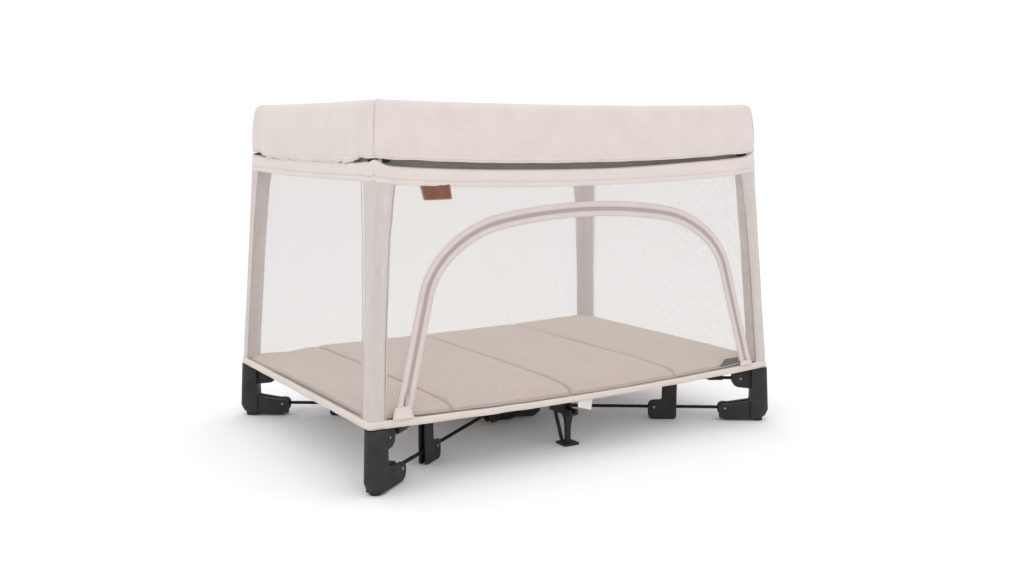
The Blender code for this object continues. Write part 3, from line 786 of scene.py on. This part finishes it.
def build_plain_net(corner, face, part):
    """Half of a side's net, from the sleeve to the middle."""
    sign = CORNERS[corner][0] if part == "long" else CORNERS[corner][1]
    half = 0 if part == "long" else 1
    foot = HEM_TOP - 0.004

    def place(i, j):
        z = mix(foot, band_edge(face, 0), j)
        a = i * (half_sizes(z)[half] - net_edge(z))
        z = mix(foot - hem_drop(face, a), band_edge(face, a) + 0.003, j)
        return on_face(face, sign * a, z, 0.0022 + billow(face, a, z)), (a + 3 * (sign > 0), z)

    piece = cloth_grid(f"net_{face}_{corner}", 36, 40, place, WALL_NET)
    ride_corner(piece, corner, part, *NET_ANCHOR)
    cut_cloth(piece, 0.47 if part == "long" else 0.31, 0.45)


# Door --------------------------------------------------------

DOOR_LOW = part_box("door_right")[0].z
DOOR_FOOT, DOOR_SHOULDER = (0.462, DOOR_LOW - 0.004), (0.398, 0.385)
DOOR_HIP, DOOR_CROWN = (0.222, 0.521), (0.0, 0.539)


def bezier(p0, p1, p2, p3, t):
    w = ((1 - t) ** 3, 3 * t * (1 - t) ** 2, 3 * t * t * (1 - t), t**3)
    return tuple(sum(a * p[k] for a, p in zip(w, (p0, p1, p2, p3))) for k in (0, 1))


def door_curve():
    """Half of the zip's line from the crown to the foot, as evenly spaced (x, z) points."""
    run = DOOR_SHOULDER[0] - DOOR_FOOT[0], DOOR_SHOULDER[1] - DOOR_FOOT[1]
    reach = 0.075 / math.hypot(*run)
    leave = DOOR_SHOULDER[0] + run[0] * reach, DOOR_SHOULDER[1] + run[1] * reach
    arrive = DOOR_HIP[0] + 0.074, DOOR_HIP[1] - 0.013
    points = [tuple(mix(DOOR_FOOT[n], DOOR_SHOULDER[n], k / 20) for n in (0, 1)) for k in range(20)]
    points += [bezier(DOOR_SHOULDER, leave, arrive, DOOR_HIP, k / 24) for k in range(24)]
    crown = (0.150, 0.534), (0.060, DOOR_CROWN[1])
    points += [bezier(DOOR_HIP, *crown, DOOR_CROWN, k / 20) for k in range(21)]
    points = np.array(points[::-1])
    along = np.concatenate([[0], np.cumsum(np.hypot(*np.diff(points, axis=0).T))])
    even = np.linspace(0, along[-1], 121)
    return np.stack([np.interp(even, along, points[:, k]) for k in (0, 1)], axis=1), along[-1]


DOOR_LINE, DOOR_LENGTH = door_curve()
LINE_WAY = np.gradient(DOOR_LINE, axis=0)
LINE_WAY /= np.hypot(*LINE_WAY.T)[:, None]


def door_point(t, out):
    """A point beside the zip's line. t goes from 0 at the crown to 1 at the foot, and out leads outwards."""
    spot = t * (len(DOOR_LINE) - 1)
    k = min(int(spot), len(DOOR_LINE) - 2)
    x, z = (mix(DOOR_LINE[k][n], DOOR_LINE[k + 1][n], spot - k) for n in (0, 1))
    dx, dz = (mix(LINE_WAY[k][n], LINE_WAY[k + 1][n], spot - k) for n in (0, 1))
    length = math.hypot(dx, dz)
    if t <= 0:
        dx, dz, length = 1.0, 0.0, 1.0
    return max(0.0, x - out * dz / length), max(z + out * dx / length, DOOR_LOW - 0.004)


def build_door_side(corner):
    """One half of the front: the net round the arch, the door's net, both tapes and the zip."""
    sx = CORNERS[corner][0]
    side = "left" if sx < 0 else "right"

    def put(x, z, depth):
        return on_face("front", sx * x, z, depth + billow("front", x, z)), (x + 3 * (sx > 0), z)

    def frame_point(t):
        """The net's outer edge: along the band, then down the sleeve."""
        top_x = half_sizes(0.60)[0] - net_edge(0.60)
        if t < 0.5:
            x = top_x * t * 2
            return x, band_edge("front", x) + 0.003
        z = mix(band_edge("front", top_x) + 0.003, HEM_TOP - 0.004, t * 2 - 1)
        return half_sizes(z)[0] - net_edge(z), z

    def outer_net(i, j):
        (x0, z0), (x1, z1) = door_point(i, 0.010), frame_point(i)
        return put(mix(x0, x1, j), mix(z0, z1, j), 0.0024)

    def door_net(i, j):
        x1, z1 = door_point(i, -0.008)
        foot = i * (DOOR_FOOT[0] - 0.010)
        low = HEM_TOP - 0.005 - hem_drop("front", foot)
        return put(mix(foot, x1, j), mix(low, max(z1, low), j), 0.0026)

    def tape(name, inner, outer, depth, thick, material, rows, crown):
        def place(i, j):
            out = mix(inner, outer, j)
            x, z = door_point(i, out)
            lift = crown * math.sin(j * math.pi) + 0.0003 * ripple(i * DOOR_LENGTH, out, 3.5, 0.03)
            return put(x, z, depth - lift)[0], (i * DOOR_LENGTH, out)

        piece = cloth_grid(name, 150, rows, place, material, thick)
        return piece

    wall = cloth_grid(f"net_front_{corner}", 110, 12, outer_net, WALL_NET)
    panel = cloth_grid(f"door_net_{side}", 90, 36, door_net, WALL_NET)
    outer_tape = tape(f"tape_outer_{side}", 0.0040, 0.0165, -0.0006, 0.0012, TAPE, 4, 0.0006)
    inner_tape = tape(f"tape_inner_{side}", -0.0165, -0.0040, -0.0006, 0.0012, TAPE, 4, 0.0006)
    outer_zip = tape(f"zip_outer_{side}", 0.0002, 0.0046, 0.0008, 0.0010, ZIP_TEETH, 3, 0.0008)
    inner_zip = tape(f"zip_inner_{side}", -0.0046, -0.0002, 0.0008, 0.0010, ZIP_TEETH, 3, 0.0008)
    for piece in (wall, outer_tape, outer_zip):
        ride_corner(piece, corner, "long", *NET_ANCHOR)
    for piece in (panel, inner_tape, inner_zip):
        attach(piece, f"door_half_{side}")
        squash_front(piece)
    cut_cloth(wall, 0.24, 0.75)
    cut_cloth(panel, 0.46, 0.402)
    for piece, teeth in ((outer_tape, outer_zip), (inner_tape, inner_zip)):
        cut_cloth(piece, 0.0125, DOOR_LENGTH)
    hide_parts(f"wall_{corner}")
    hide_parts(f"door_{side}")


def build_zip_end(corner):
    """The cloth patch over the foot of the zip. It is taller on the left, where the slider is."""
    sx = CORNERS[corner][0]
    if corner == "fl":
        outline = rounded((0.437, 0.1455, 0.001), (0.486, 0.1455, 0.001), (0.4790, 0.1700, 0.003),
                          (0.4470, 0.1730, 0.003))
    else:
        outline = rounded((0.440, 0.1455, 0.001), (0.482, 0.1455, 0.001), (0.4760, 0.1580, 0.002),
                          (0.4450, 0.1580, 0.002))

    def place(a, across, b):
        return on_face("front", sx * a, b, -0.0034 + across)

    patch = plate(f"zip_patch_{corner}", outline, place, 0.0016, HEM_CLOTH, 0.0005)
    rim = [place(a, -0.0001, b) for a, b in inset(outline, 0.0022)]
    edge = bead(f"zip_patch_edge_{corner}", rim, 0.00035, SEAM_CLOTH, True)
    dress((patch, edge), f"corner_{corner}")


def build_sleeve(corner):
    """The open cloth tube round a corner post, and the wider cloth above it."""
    sx, sy = CORNERS[corner]

    def place(i, j):
        z = mix(HEM_TOP - 0.003, 0.625, j)
        x, y = half_sizes(z)
        width, r = sleeve_width(z), 0.011
        # round the outside from the long side's edge, then back across the inside of the post
        outline = [(x - width, y - 0.0035), (x - width + 0.004, y), (x - width / 2, y), (x - r, y)]
        turns = (k * math.pi / 10 for k in range(1, 5))
        outline += [(x - r + r * math.sin(t), y - r + r * math.cos(t)) for t in turns]
        outline += [(x, y - r), (x, y - width / 2), (x, y - width + 0.004), (x - 0.0035, y - width)]
        outline += [(x - 0.030, y - width + 0.008), (x - 0.037, y - 0.037), (x - width + 0.008, y - 0.030)]
        outline.append((outline[0][0] - 0.0004, outline[0][1] - 0.0004))  # the sewn seam
        px, py = outline[round(i * (len(outline) - 1))]
        folds = 0.0016 * ripple(i * 0.9, z, 6.5, 0.10) + 0.0007 * ripple(i * 0.5, z * 0.35, 2.5, 0.02)
        inwards = Vector((x - 0.02 - px, y - 0.02 - py)).normalized() * (folds + 0.0006)
        return Vector((sx * (px + inwards.x), sy * (py + inwards.y), z)), (i * 0.24, z)

    piece = cloth_grid(f"sleeve_{corner}", 15, 60, place, SLEEVE_CLOTH, 0.0, 1)
    dress((piece,), f"corner_{corner}")
    lines = [], []
    for k in range(31):
        z = mix(HEM_TOP - 0.002, 0.618, k / 30)
        (x, y), width = half_sizes(z), sleeve_width(z) - 0.001
        lines[0].append((sx * (x - width), sy * (y - 0.0005), z))
        lines[1].append((sx * (x - 0.0005), sy * (y - width), z))
    seams = [bead(f"sleeve_seam_{n}_{corner}", lines[n - 1], 0.0009, SEAM_CLOTH) for n in (1, 2)]
    dress(seams, f"corner_{corner}")
    cut_cloth(piece, 0.16, 0.475)
    if corner[0] == "b":
        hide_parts(f"wall_{corner}")


# Mattress and floor ------------------------------------------

PAD_GROW, PAD_CLIP = 0.0072, 0.020  # how far the pads reach past their solids, and their cut corners
PAD_SHRINK = 0.0012  # how much smaller a pad starts, before it swells
PAD_VOXEL, PAD_CAP, PAD_FRAMES, PAD_PRESSURE = 0.0052, 0.0030, 20, 4.0
PIPING = 0.0013
FLOOR_GAP = 0.0022  # from the pads down to the floor's cloth


def pad_outline(number):
    """A panel's plan: outer ends with their cut corners, inner ends straight."""
    low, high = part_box(f"mattress_{number}")
    left, right, y = low.x, high.x, high.y + PAD_GROW
    if number == 1:
        left -= PAD_GROW
        clipped = (left + PAD_CLIP, y), (left, y - PAD_CLIP), (left, PAD_CLIP - y)
        return (left + PAD_CLIP, -y), (right, -y), (right, y), *clipped
    if number == 4:
        right += PAD_GROW
        clipped = (right - PAD_CLIP, -y), (right, PAD_CLIP - y), (right, y - PAD_CLIP), (right - PAD_CLIP, y)
        return (left, -y), *clipped, (left, y)
    return (left, -y), (right, -y), (right, y), (left, y)


def pad_dip(number, x, y):
    """The pads droop to the sagging hem, and the first one lies low in its far corner."""
    side = 0.0055 * smooth_step((abs(y) - 0.24) / 0.12) + 0.0080 * smooth_step((abs(y) - 0.325) / 0.042)
    droop = bow("front", x) * side
    droop += 0.0045 * smooth_step((abs(x) - 0.490) / 0.036) + 0.0030 * smooth_step((abs(y) - 0.340) / 0.026)
    if number != 1:
        return droop
    return droop + 0.009 * smooth_step((y - 0.02) / 0.30) * smooth_step((-0.330 - x) / 0.10)


def swell(piece):
    """Let the pad's cloth swell under pressure, with no point moving further than the cap."""
    starts = np.empty(len(piece.data.vertices) * 3)
    piece.data.vertices.foreach_get("co", starts)
    step = piece.modifiers.new("cloth", "CLOTH")
    step.settings.use_pressure = True
    step.settings.uniform_pressure_force = PAD_PRESSURE
    step.settings.effector_weights.gravity = 0.0
    step.settings.quality = 4
    step.settings.tension_stiffness = step.settings.compression_stiffness = 18
    step.collision_settings.use_collision = False
    for now in range(1, PAD_FRAMES + 1):
        bpy.context.scene.frame_set(now)
    swollen = bpy.data.meshes.new_from_object(piece.evaluated_get(bpy.context.evaluated_depsgraph_get()))
    piece.modifiers.clear()
    ends = np.empty_like(starts)
    swollen.vertices.foreach_get("co", ends)
    moves = (ends - starts).reshape(-1, 3)
    lengths = np.maximum(np.linalg.norm(moves, axis=1), 1e-9)
    moves *= np.minimum(1.0, PAD_CAP / lengths)[:, None]
    piece.data.vertices.foreach_set("co", starts + moves.reshape(-1))
    bpy.data.meshes.remove(swollen)
    bpy.context.scene.frame_set(1)


def make_pad(number, outline):
    """A panel's thin foam pad in sewn cloth, swollen by simulation and then laid in its dips."""
    low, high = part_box(f"mattress_{number}")
    bm = bmesh.new()
    face = bm.faces.new([bm.verts.new((x, y, low.z + PAD_SHRINK)) for x, y in outline])
    grown = bmesh.ops.extrude_face_region(bm, geom=[face])["geom"]
    raised_verts = [g for g in grown if isinstance(g, bmesh.types.BMVert)]
    bmesh.ops.translate(bm, vec=(0, 0, high.z - low.z - 2 * PAD_SHRINK), verts=raised_verts)
    for v in bm.verts:
        v.co.y -= math.copysign(PAD_SHRINK, v.co.y)
    rims = [e for e in bm.edges if abs(e.verts[0].co.z - e.verts[1].co.z) < 0.001]
    bmesh.ops.bevel(bm, geom=rims, offset=0.0022, segments=2, profile=0.5, affect="EDGES", material=-1)
    bmesh.ops.recalc_face_normals(bm, faces=bm.faces)
    piece = finish_piece(f"mattress_pad_{number}", bm, PAD_CLOTH, 180)
    step = piece.modifiers.new("fine", "REMESH")
    step.mode = "VOXEL"
    step.voxel_size = PAD_VOXEL
    settle(piece, 180)
    swell(piece)

    bm = bmesh.new()
    bm.from_mesh(piece.data)
    layer = bm.loops.layers.uv.new("UVMap")
    left, right = (end(x for x, _ in outline) for end in (min, max))
    for v in bm.verts:
        v.co.x = min(max(v.co.x, left + 0.0002), right - 0.0002)
        top = smooth_step((v.co.z - low.z) / (high.z - low.z))
        puff = 0.0011 * ripple(v.co.x, v.co.y, number + 0.5, 0.08)
        puff += 0.0004 * ripple(v.co.x, v.co.y, number + 9.5, 0.022)
        v.co.z += top * puff - pad_dip(number, v.co.x, v.co.y)
    for f in bm.faces:
        for loop in f.loops:
            loop[layer].uv = (loop.vert.co.x + loop.vert.co.z, loop.vert.co.y)
    bm.to_mesh(piece.data)
    bm.free()
    step = piece.modifiers.new("soften", "SUBSURF")
    step.levels = step.render_levels = 1
    return piece


def make_piping(number, outline):
    """The piped seam round a pad."""
    low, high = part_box(f"mattress_{number}")
    middle = (low + high) / 2
    ring = []
    for (x0, y0), (x1, y1) in zip(outline, outline[1:] + outline[:1]):
        count = max(2, round(math.hypot(x1 - x0, y1 - y0) / 0.02))
        ring += [(mix(x0, x1, k / count), mix(y0, y1, k / count)) for k in range(count)]
    ring = [(x - math.copysign(0.0014, x - middle.x), y - math.copysign(0.0004, y)) for x, y in ring]
    line = [(x, y, (low.z + high.z) / 2 - pad_dip(number, x, y)) for x, y in ring]
    return bead(f"mattress_piping_{number}", line, PIPING, PAD_CLOTH, True)


def squash_mattress(piece):
    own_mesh(piece)


def build_mattress_panel(number):
    """A pad with its piping, and the floor's cloth under it."""
    outline = pad_outline(number)
    pieces = make_pad(number, outline), make_piping(number, outline), build_floor(number)
    for piece in pieces:
        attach(piece, f"mattress_panel_{number}")
        squash_mattress(piece)
    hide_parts(f"mattress_{number}")


def build_floor(number):
    """The floor's cloth under one panel, out to the hem, where its edge turns up."""
    low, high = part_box(f"mattress_{number}")
    x_end, y_end = (size - 0.0045 for size in half_sizes(low.z))
    left = -x_end if number == 1 else low.x - 0.0003
    right = x_end if number == 4 else high.x + 0.0003

    def place(i, j):
        x, y = mix(left, right, i), mix(-y_end, y_end, j)
        free = smooth_step(min(x_end - abs(x), y_end - abs(y)) / 0.03)
        over_hub = smooth_step(math.hypot(x, y) / 0.16)
        sag = free * over_hub * (0.0035 + 0.0008 * ripple(x, y, 3.5, 0.04))
        edge = hem_drop("front", x) * smooth_step((abs(y) - 0.24) / 0.12)
        lip = (HEM_TOP - 0.0050 - low.z + FLOOR_GAP) * (1 - free)
        dip = max(edge, pad_dip(number, x, y) * free)
        return Vector((x, y, low.z - FLOOR_GAP + lip - sag - dip)), (x, y)

    columns = max(10, round((right - left) / 0.015))
    piece = cloth_grid(f"floor_cloth_{number}", columns, 50, place, FLOOR_CLOTH, 0.0008)
    cut_cloth(piece, right - left, 2 * y_end)
    return piece


STRAP_OUT, STRAP_WIDE, STRAP_ROUND = 0.525, 0.036, 0.0058  # from the middle, along the bar, and its bend
STRAP_SIDE = ((0.0058, 0.106), (0.0052, 0.120), (0.0045, 0.1465))  # one side going up, as (aside, z)


def build_strap(corner):
    """An elastic loop that ties the floor's cloth to an upper bar."""
    sx, sy = CORNERS[corner]
    along = Vector((sx * math.cos(DIAGONAL), sy * math.sin(DIAGONAL), 0))
    across = Vector((-along.y, along.x, 0))
    angles = [k * math.pi / 8 for k in range(-4, 5)]
    loop = [(-aside, z) for aside, z in reversed(STRAP_SIDE)]
    loop += [(STRAP_ROUND * math.sin(t), 0.104 - STRAP_ROUND * math.cos(t)) for t in angles]
    loop += STRAP_SIDE

    def place(i, j):
        aside, z = loop[round(j * (len(loop) - 1))]
        out = STRAP_OUT + mix(-STRAP_WIDE / 2, STRAP_WIDE / 2, i)
        spot = along * out + across * (aside + 0.0006 * math.sin(i * 7 + z * 90))
        return spot + Vector((0, 0, z)), (i * STRAP_WIDE, j * 0.11)

    strap = cloth_grid(f"floor_strap_{corner}", 10, len(loop) - 1, place, STRAP_WEBBING, 0.0012)
    dress((strap,), f"upper_spoke_{corner}")
    cut_cloth(strap, STRAP_WIDE, 0.103)


# Tag, label, tab and slider ----------------------------------


def build_tag():
    """The plain leather tag on the front, with its paler edge and its row of stitches."""
    tag = rounded((-0.3985, 0.5715, 0.0040), (-0.3345, 0.5715, 0.0040), (-0.3350, 0.6035, 0.0008),
                  (-0.4030, 0.6035, 0.0008))

    def on_tag(a, across, b):
        lean = mix(-0.0044, 0.0012, smooth_step((b - 0.572) / 0.024))
        return on_face("front", a, b, lean + across)

    def on_face_side(a, across, b):
        return on_tag(a, across - 0.0004, b)

    row = [on_tag(a, -0.0004, b) for a, b in inset(tag, 0.0030)]
    backing = plate("tag_backing", tag, on_tag, 0.0022, LEATHER_EDGE, 0.0006)
    face = plate("tag_face", inset(tag, 0.0011), on_face_side, 0.0006, LEATHER, 0.0002)
    thread = bead("tag_stitching", row, 0.0003, LEATHER_EDGE, True)
    dress((backing, face, thread), "corner_fl")
    for piece in (backing, face, thread):
        squash_front(piece)
    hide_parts("tag")


def build_label():
    """The care label that hangs askew from the front hem."""
    turn = math.radians(-17)

    def on_label(i, j):
        a, b = mix(-0.020, 0.018, i), mix(-0.024, 0.004, j)
        x, z = a * math.cos(turn) - b * math.sin(turn), a * math.sin(turn) + b * math.cos(turn)
        curl = 0.0030 * (1 - j) ** 2 + 0.0008 * math.sin(i * 5)
        return on_face("front", -0.012 + x, 0.1280 + z, 0.0046 - curl), (a, b)

    label = cloth_grid("care_label_cloth", 14, 10, on_label, SATIN, 0.0005)
    dress((label,), "corner_fl")
    squash_front(label)
    cut_cloth(label, 0.038, 0.028)
    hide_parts("care_label")


def build_tab():
    """The webbing tab at the mattress's front edge."""
    low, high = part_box("mattress_tab")
    top = high.z + 0.0005
    strap = rounded((low.x - 0.001, 0.1478, 0.0006), (high.x + 0.001, 0.1478, 0.0006),
                    (high.x + 0.0005, top, 0.002), (low.x + 0.016, top, 0.004))

    def place(a, across, b):
        return Vector((a, low.y - 0.0052 + across, b))

    tab = plate("mattress_strap", strap, place, 0.0018, WEBBING, 0.0004)
    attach(tab, "mattress_panel_4")
    squash_mattress(tab)
    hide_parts("mattress_tab")


def build_slider():
    """The zip's slider at the foot of the door, with its bridge and its hanging pull."""
    low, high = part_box("zip_slider")
    x, z = (low.x + high.x) / 2, high.z - 0.006
    way = Vector((DOOR_SHOULDER[0] - DOOR_FOOT[0], DOOR_SHOULDER[1] - DOOR_FOOT[1])).normalized()

    def on_zip(a, across, b, out=0.0):
        depth = across - out - 0.0020
        return on_face("front", x + a * way.y - b * way.x, z + b * way.y + a * way.x, depth)

    def on_body(a, across, b):
        return on_zip(a, across, b, 0.0016)

    def on_pull(a, across, b):
        return on_zip(a, across, b, 0.0034)

    body = rounded((-0.0042, -0.0060, 0.0015), (0.0042, -0.0060, 0.0015), (0.0050, 0.0050, 0.0025),
                   (-0.0050, 0.0050, 0.0025))
    pull = rounded((-0.0021, -0.0210, 0.0016), (0.0021, -0.0210, 0.0016), (0.0028, -0.0020, 0.0020),
                   (-0.0028, -0.0020, 0.0020))
    arch = (-0.0014, -0.0040), (-0.0034, -0.0020), (-0.0036, 0.0010), (-0.0014, 0.0034)
    slider = plate("zip_slider_body", body, on_body, 0.0036, SLIDER_METAL, 0.0008)
    hanging = plate("zip_pull", pull, on_pull, 0.0012, SLIDER_METAL, 0.0004)
    bridge = bead("zip_bridge", [on_zip(0, across, b) for across, b in arch], 0.0008, SLIDER_METAL)
    dress((slider, hanging, bridge), "corner_fl")
    for piece in (slider, hanging, bridge):
        squash_front(piece)
    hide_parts("zip_slider")


# Plastic and steel -------------------------------------------

LOWER_PIN, UPPER_PIN = (0.085, 0.030), (0.122, 0.104)  # the hub's pins, as (out along the diagonal, z)
INNER_OUT, CORNER_OUT = 0.291, 0.464  # how much further out the inner leg's and the corner leg's pins are
WHOLE_PARTS = ("corner_leg", "inner_leg", "support_leg", "hub", "top_corner", "rail_hinge")
EDGE_WIDTH = 0.0009
PIN_HEAD, PIN_TALL = 0.0034, 0.0016
PLATE_FACE, LEG_LOW_FACE, LEG_HIGH_FACE = 0.0094, 0.0167, 0.0100  # from a bar's middle to where a pin shows


def soft_edges(node, material):
    """A copy of a hard part's shape with its edges rounded, which stands for it."""
    source = frame["nodes"][node]
    bm = bmesh.new()
    bm.from_mesh(source.data)
    bmesh.ops.remove_doubles(bm, verts=bm.verts, dist=0.00002)
    bmesh.ops.dissolve_limit(bm, angle_limit=math.radians(1.0), verts=bm.verts, edges=bm.edges)
    bmesh.ops.recalc_face_normals(bm, faces=bm.faces)
    piece = finish_piece(f"{node}_moulding", bm, material, 35)
    step = piece.modifiers.new("edges", "BEVEL")
    step.width = EDGE_WIDTH
    step.segments = 2
    step.limit_method = "ANGLE"
    step.angle_limit = math.radians(35)
    step.use_clamp_overlap = True
    step.harden_normals = True
    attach(piece, source["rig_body"])
    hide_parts(node)
    return piece


def build_hard_parts():
    for node, source in frame["nodes"].items():
        if node.startswith(WHOLE_PARTS):
            soft_edges(node, CHARCOAL)
        elif "_bar_" in node or node.startswith(("corner_post", "long_rail", "short_rail")):
            source.data.materials.clear()
            source.data.materials.append(BAR_PAINT if "_bar_" in node else TUBE_METAL)


def rivets(name, spots):
    """Domed pin heads, each at a point with a way to face."""
    bm = bmesh.new()
    for middle, way in spots:
        turn = Vector(way).to_track_quat("Z", "Y").to_matrix().to_4x4()
        made = bmesh.ops.create_uvsphere(bm, u_segments=14, v_segments=8, radius=PIN_HEAD)
        for v in made["verts"]:
            v.co.z = max(v.co.z, -PIN_HEAD / 3) * PIN_TALL / PIN_HEAD
        bmesh.ops.transform(bm, matrix=Matrix.Translation(middle) @ turn, verts=made["verts"])
    bmesh.ops.remove_doubles(bm, verts=bm.verts, dist=0.00001)
    return finish_piece(name, bm, RIVET_STEEL, 60)


def build_rivets(corner):
    """Pin heads on both sides of a diagonal's legs and of the hub's arms."""
    sx, sy = CORNERS[corner]
    along = Vector((sx * math.cos(DIAGONAL), sy * math.sin(DIAGONAL), 0))
    across = Vector((-along.y, along.x, 0))

    def heads(outs, half):
        return [(along * out + across * side * half + Vector((0, 0, z)), across * side)
                for out, z in outs for side in (-1, 1)]

    pins = LOWER_PIN, UPPER_PIN
    inner = [(out + INNER_OUT, z) for out, z in pins]
    far_low, far_high = ((out + CORNER_OUT, z) for out, z in pins)
    leg = heads((far_low,), LEG_LOW_FACE) + heads((far_high,), LEG_HIGH_FACE)
    for name, spots, body in (
        ("hub_pins", heads(pins, PLATE_FACE), "hub"),
        ("inner_leg_pins", heads(inner, PLATE_FACE), f"inner_support_{corner}"),
        ("leg_pins", leg, f"corner_{corner}"),
    ):
        dress((rivets(f"{name}_{corner}", spots),), body)


# Stage, light and camera -------------------------------------


STAGE_SIZE, WORLD_STRENGTH = 30.0, 1.05
LAMPS = (("key", (-1.6, -2.6, 2.6), 8.0, 2.2), ("top", (0.2, 0.2, 3.2), 9.0, 2.4))  # place, watts and size
LAMP_AIM = Vector((0, 0, 0.35))
CAMERA_PLACE, CAMERA_DOWN, CAMERA_TURN = (-1.392, -2.231, 0.7105), 8.342, -32.415  # metres and degrees
CAMERA_LENS, CAMERA_SENSOR = 38.20, 36.0


def build_stage():
    """A pale floor that fades into a white studio, with two soft lamps."""
    bm = bmesh.new()
    bmesh.ops.create_grid(bm, x_segments=2, y_segments=2, size=STAGE_SIZE)
    ground = Finish("pale_floor", (0.98, 0.98, 0.98), 0.9, Specular_IOR_Level=0.0)
    floor = finish_piece("floor", bm, ground.material, 180)
    floor.location.z = -0.0005
    world = bpy.data.worlds.new("studio")
    bpy.context.scene.world = world
    world.use_nodes = True
    sky = world.node_tree.nodes["Background"].inputs
    sky["Color"].default_value = (1.0, 1.0, 1.0, 1.0)
    sky["Strength"].default_value = WORLD_STRENGTH
    for name, place, power, size in LAMPS:
        lamp = bpy.data.lights.new(name, "AREA")
        lamp.energy, lamp.size = power, size
        made = bpy.data.objects.new(name, lamp)
        bpy.context.scene.collection.objects.link(made)
        made.location = place
        made.rotation_euler = (LAMP_AIM - Vector(place)).to_track_quat("-Z", "Y").to_euler()
    bpy.context.scene.view_settings.view_transform = "Standard"


def build_camera():
    lens = bpy.data.cameras.new("view")
    lens.lens, lens.sensor_width = CAMERA_LENS, CAMERA_SENSOR
    camera = bpy.data.objects.new("view", lens)
    bpy.context.scene.collection.objects.link(camera)
    camera.location = CAMERA_PLACE
    camera.rotation_euler = (math.radians(90 - CAMERA_DOWN), 0, math.radians(CAMERA_TURN))
    bpy.context.scene.camera = camera


build_camera()
build_stage()
build_hard_parts()
for corner in CORNERS:
    build_rivets(corner)
    build_strap(corner)
    build_socket(corner)
    build_cover(corner)
    build_band(corner)
    build_hem(corner)
    build_sleeve(corner)
    long_face, short_face = faces_of(corner)
    build_plain_net(corner, short_face, "short")
    if long_face == "back":
        build_plain_net(corner, long_face, "long")
    else:
        build_door_side(corner)
        build_zip_end(corner)
for number in (1, 2, 3, 4):
    build_mattress_panel(number)
build_tag()
build_label()
build_tab()
build_slider()
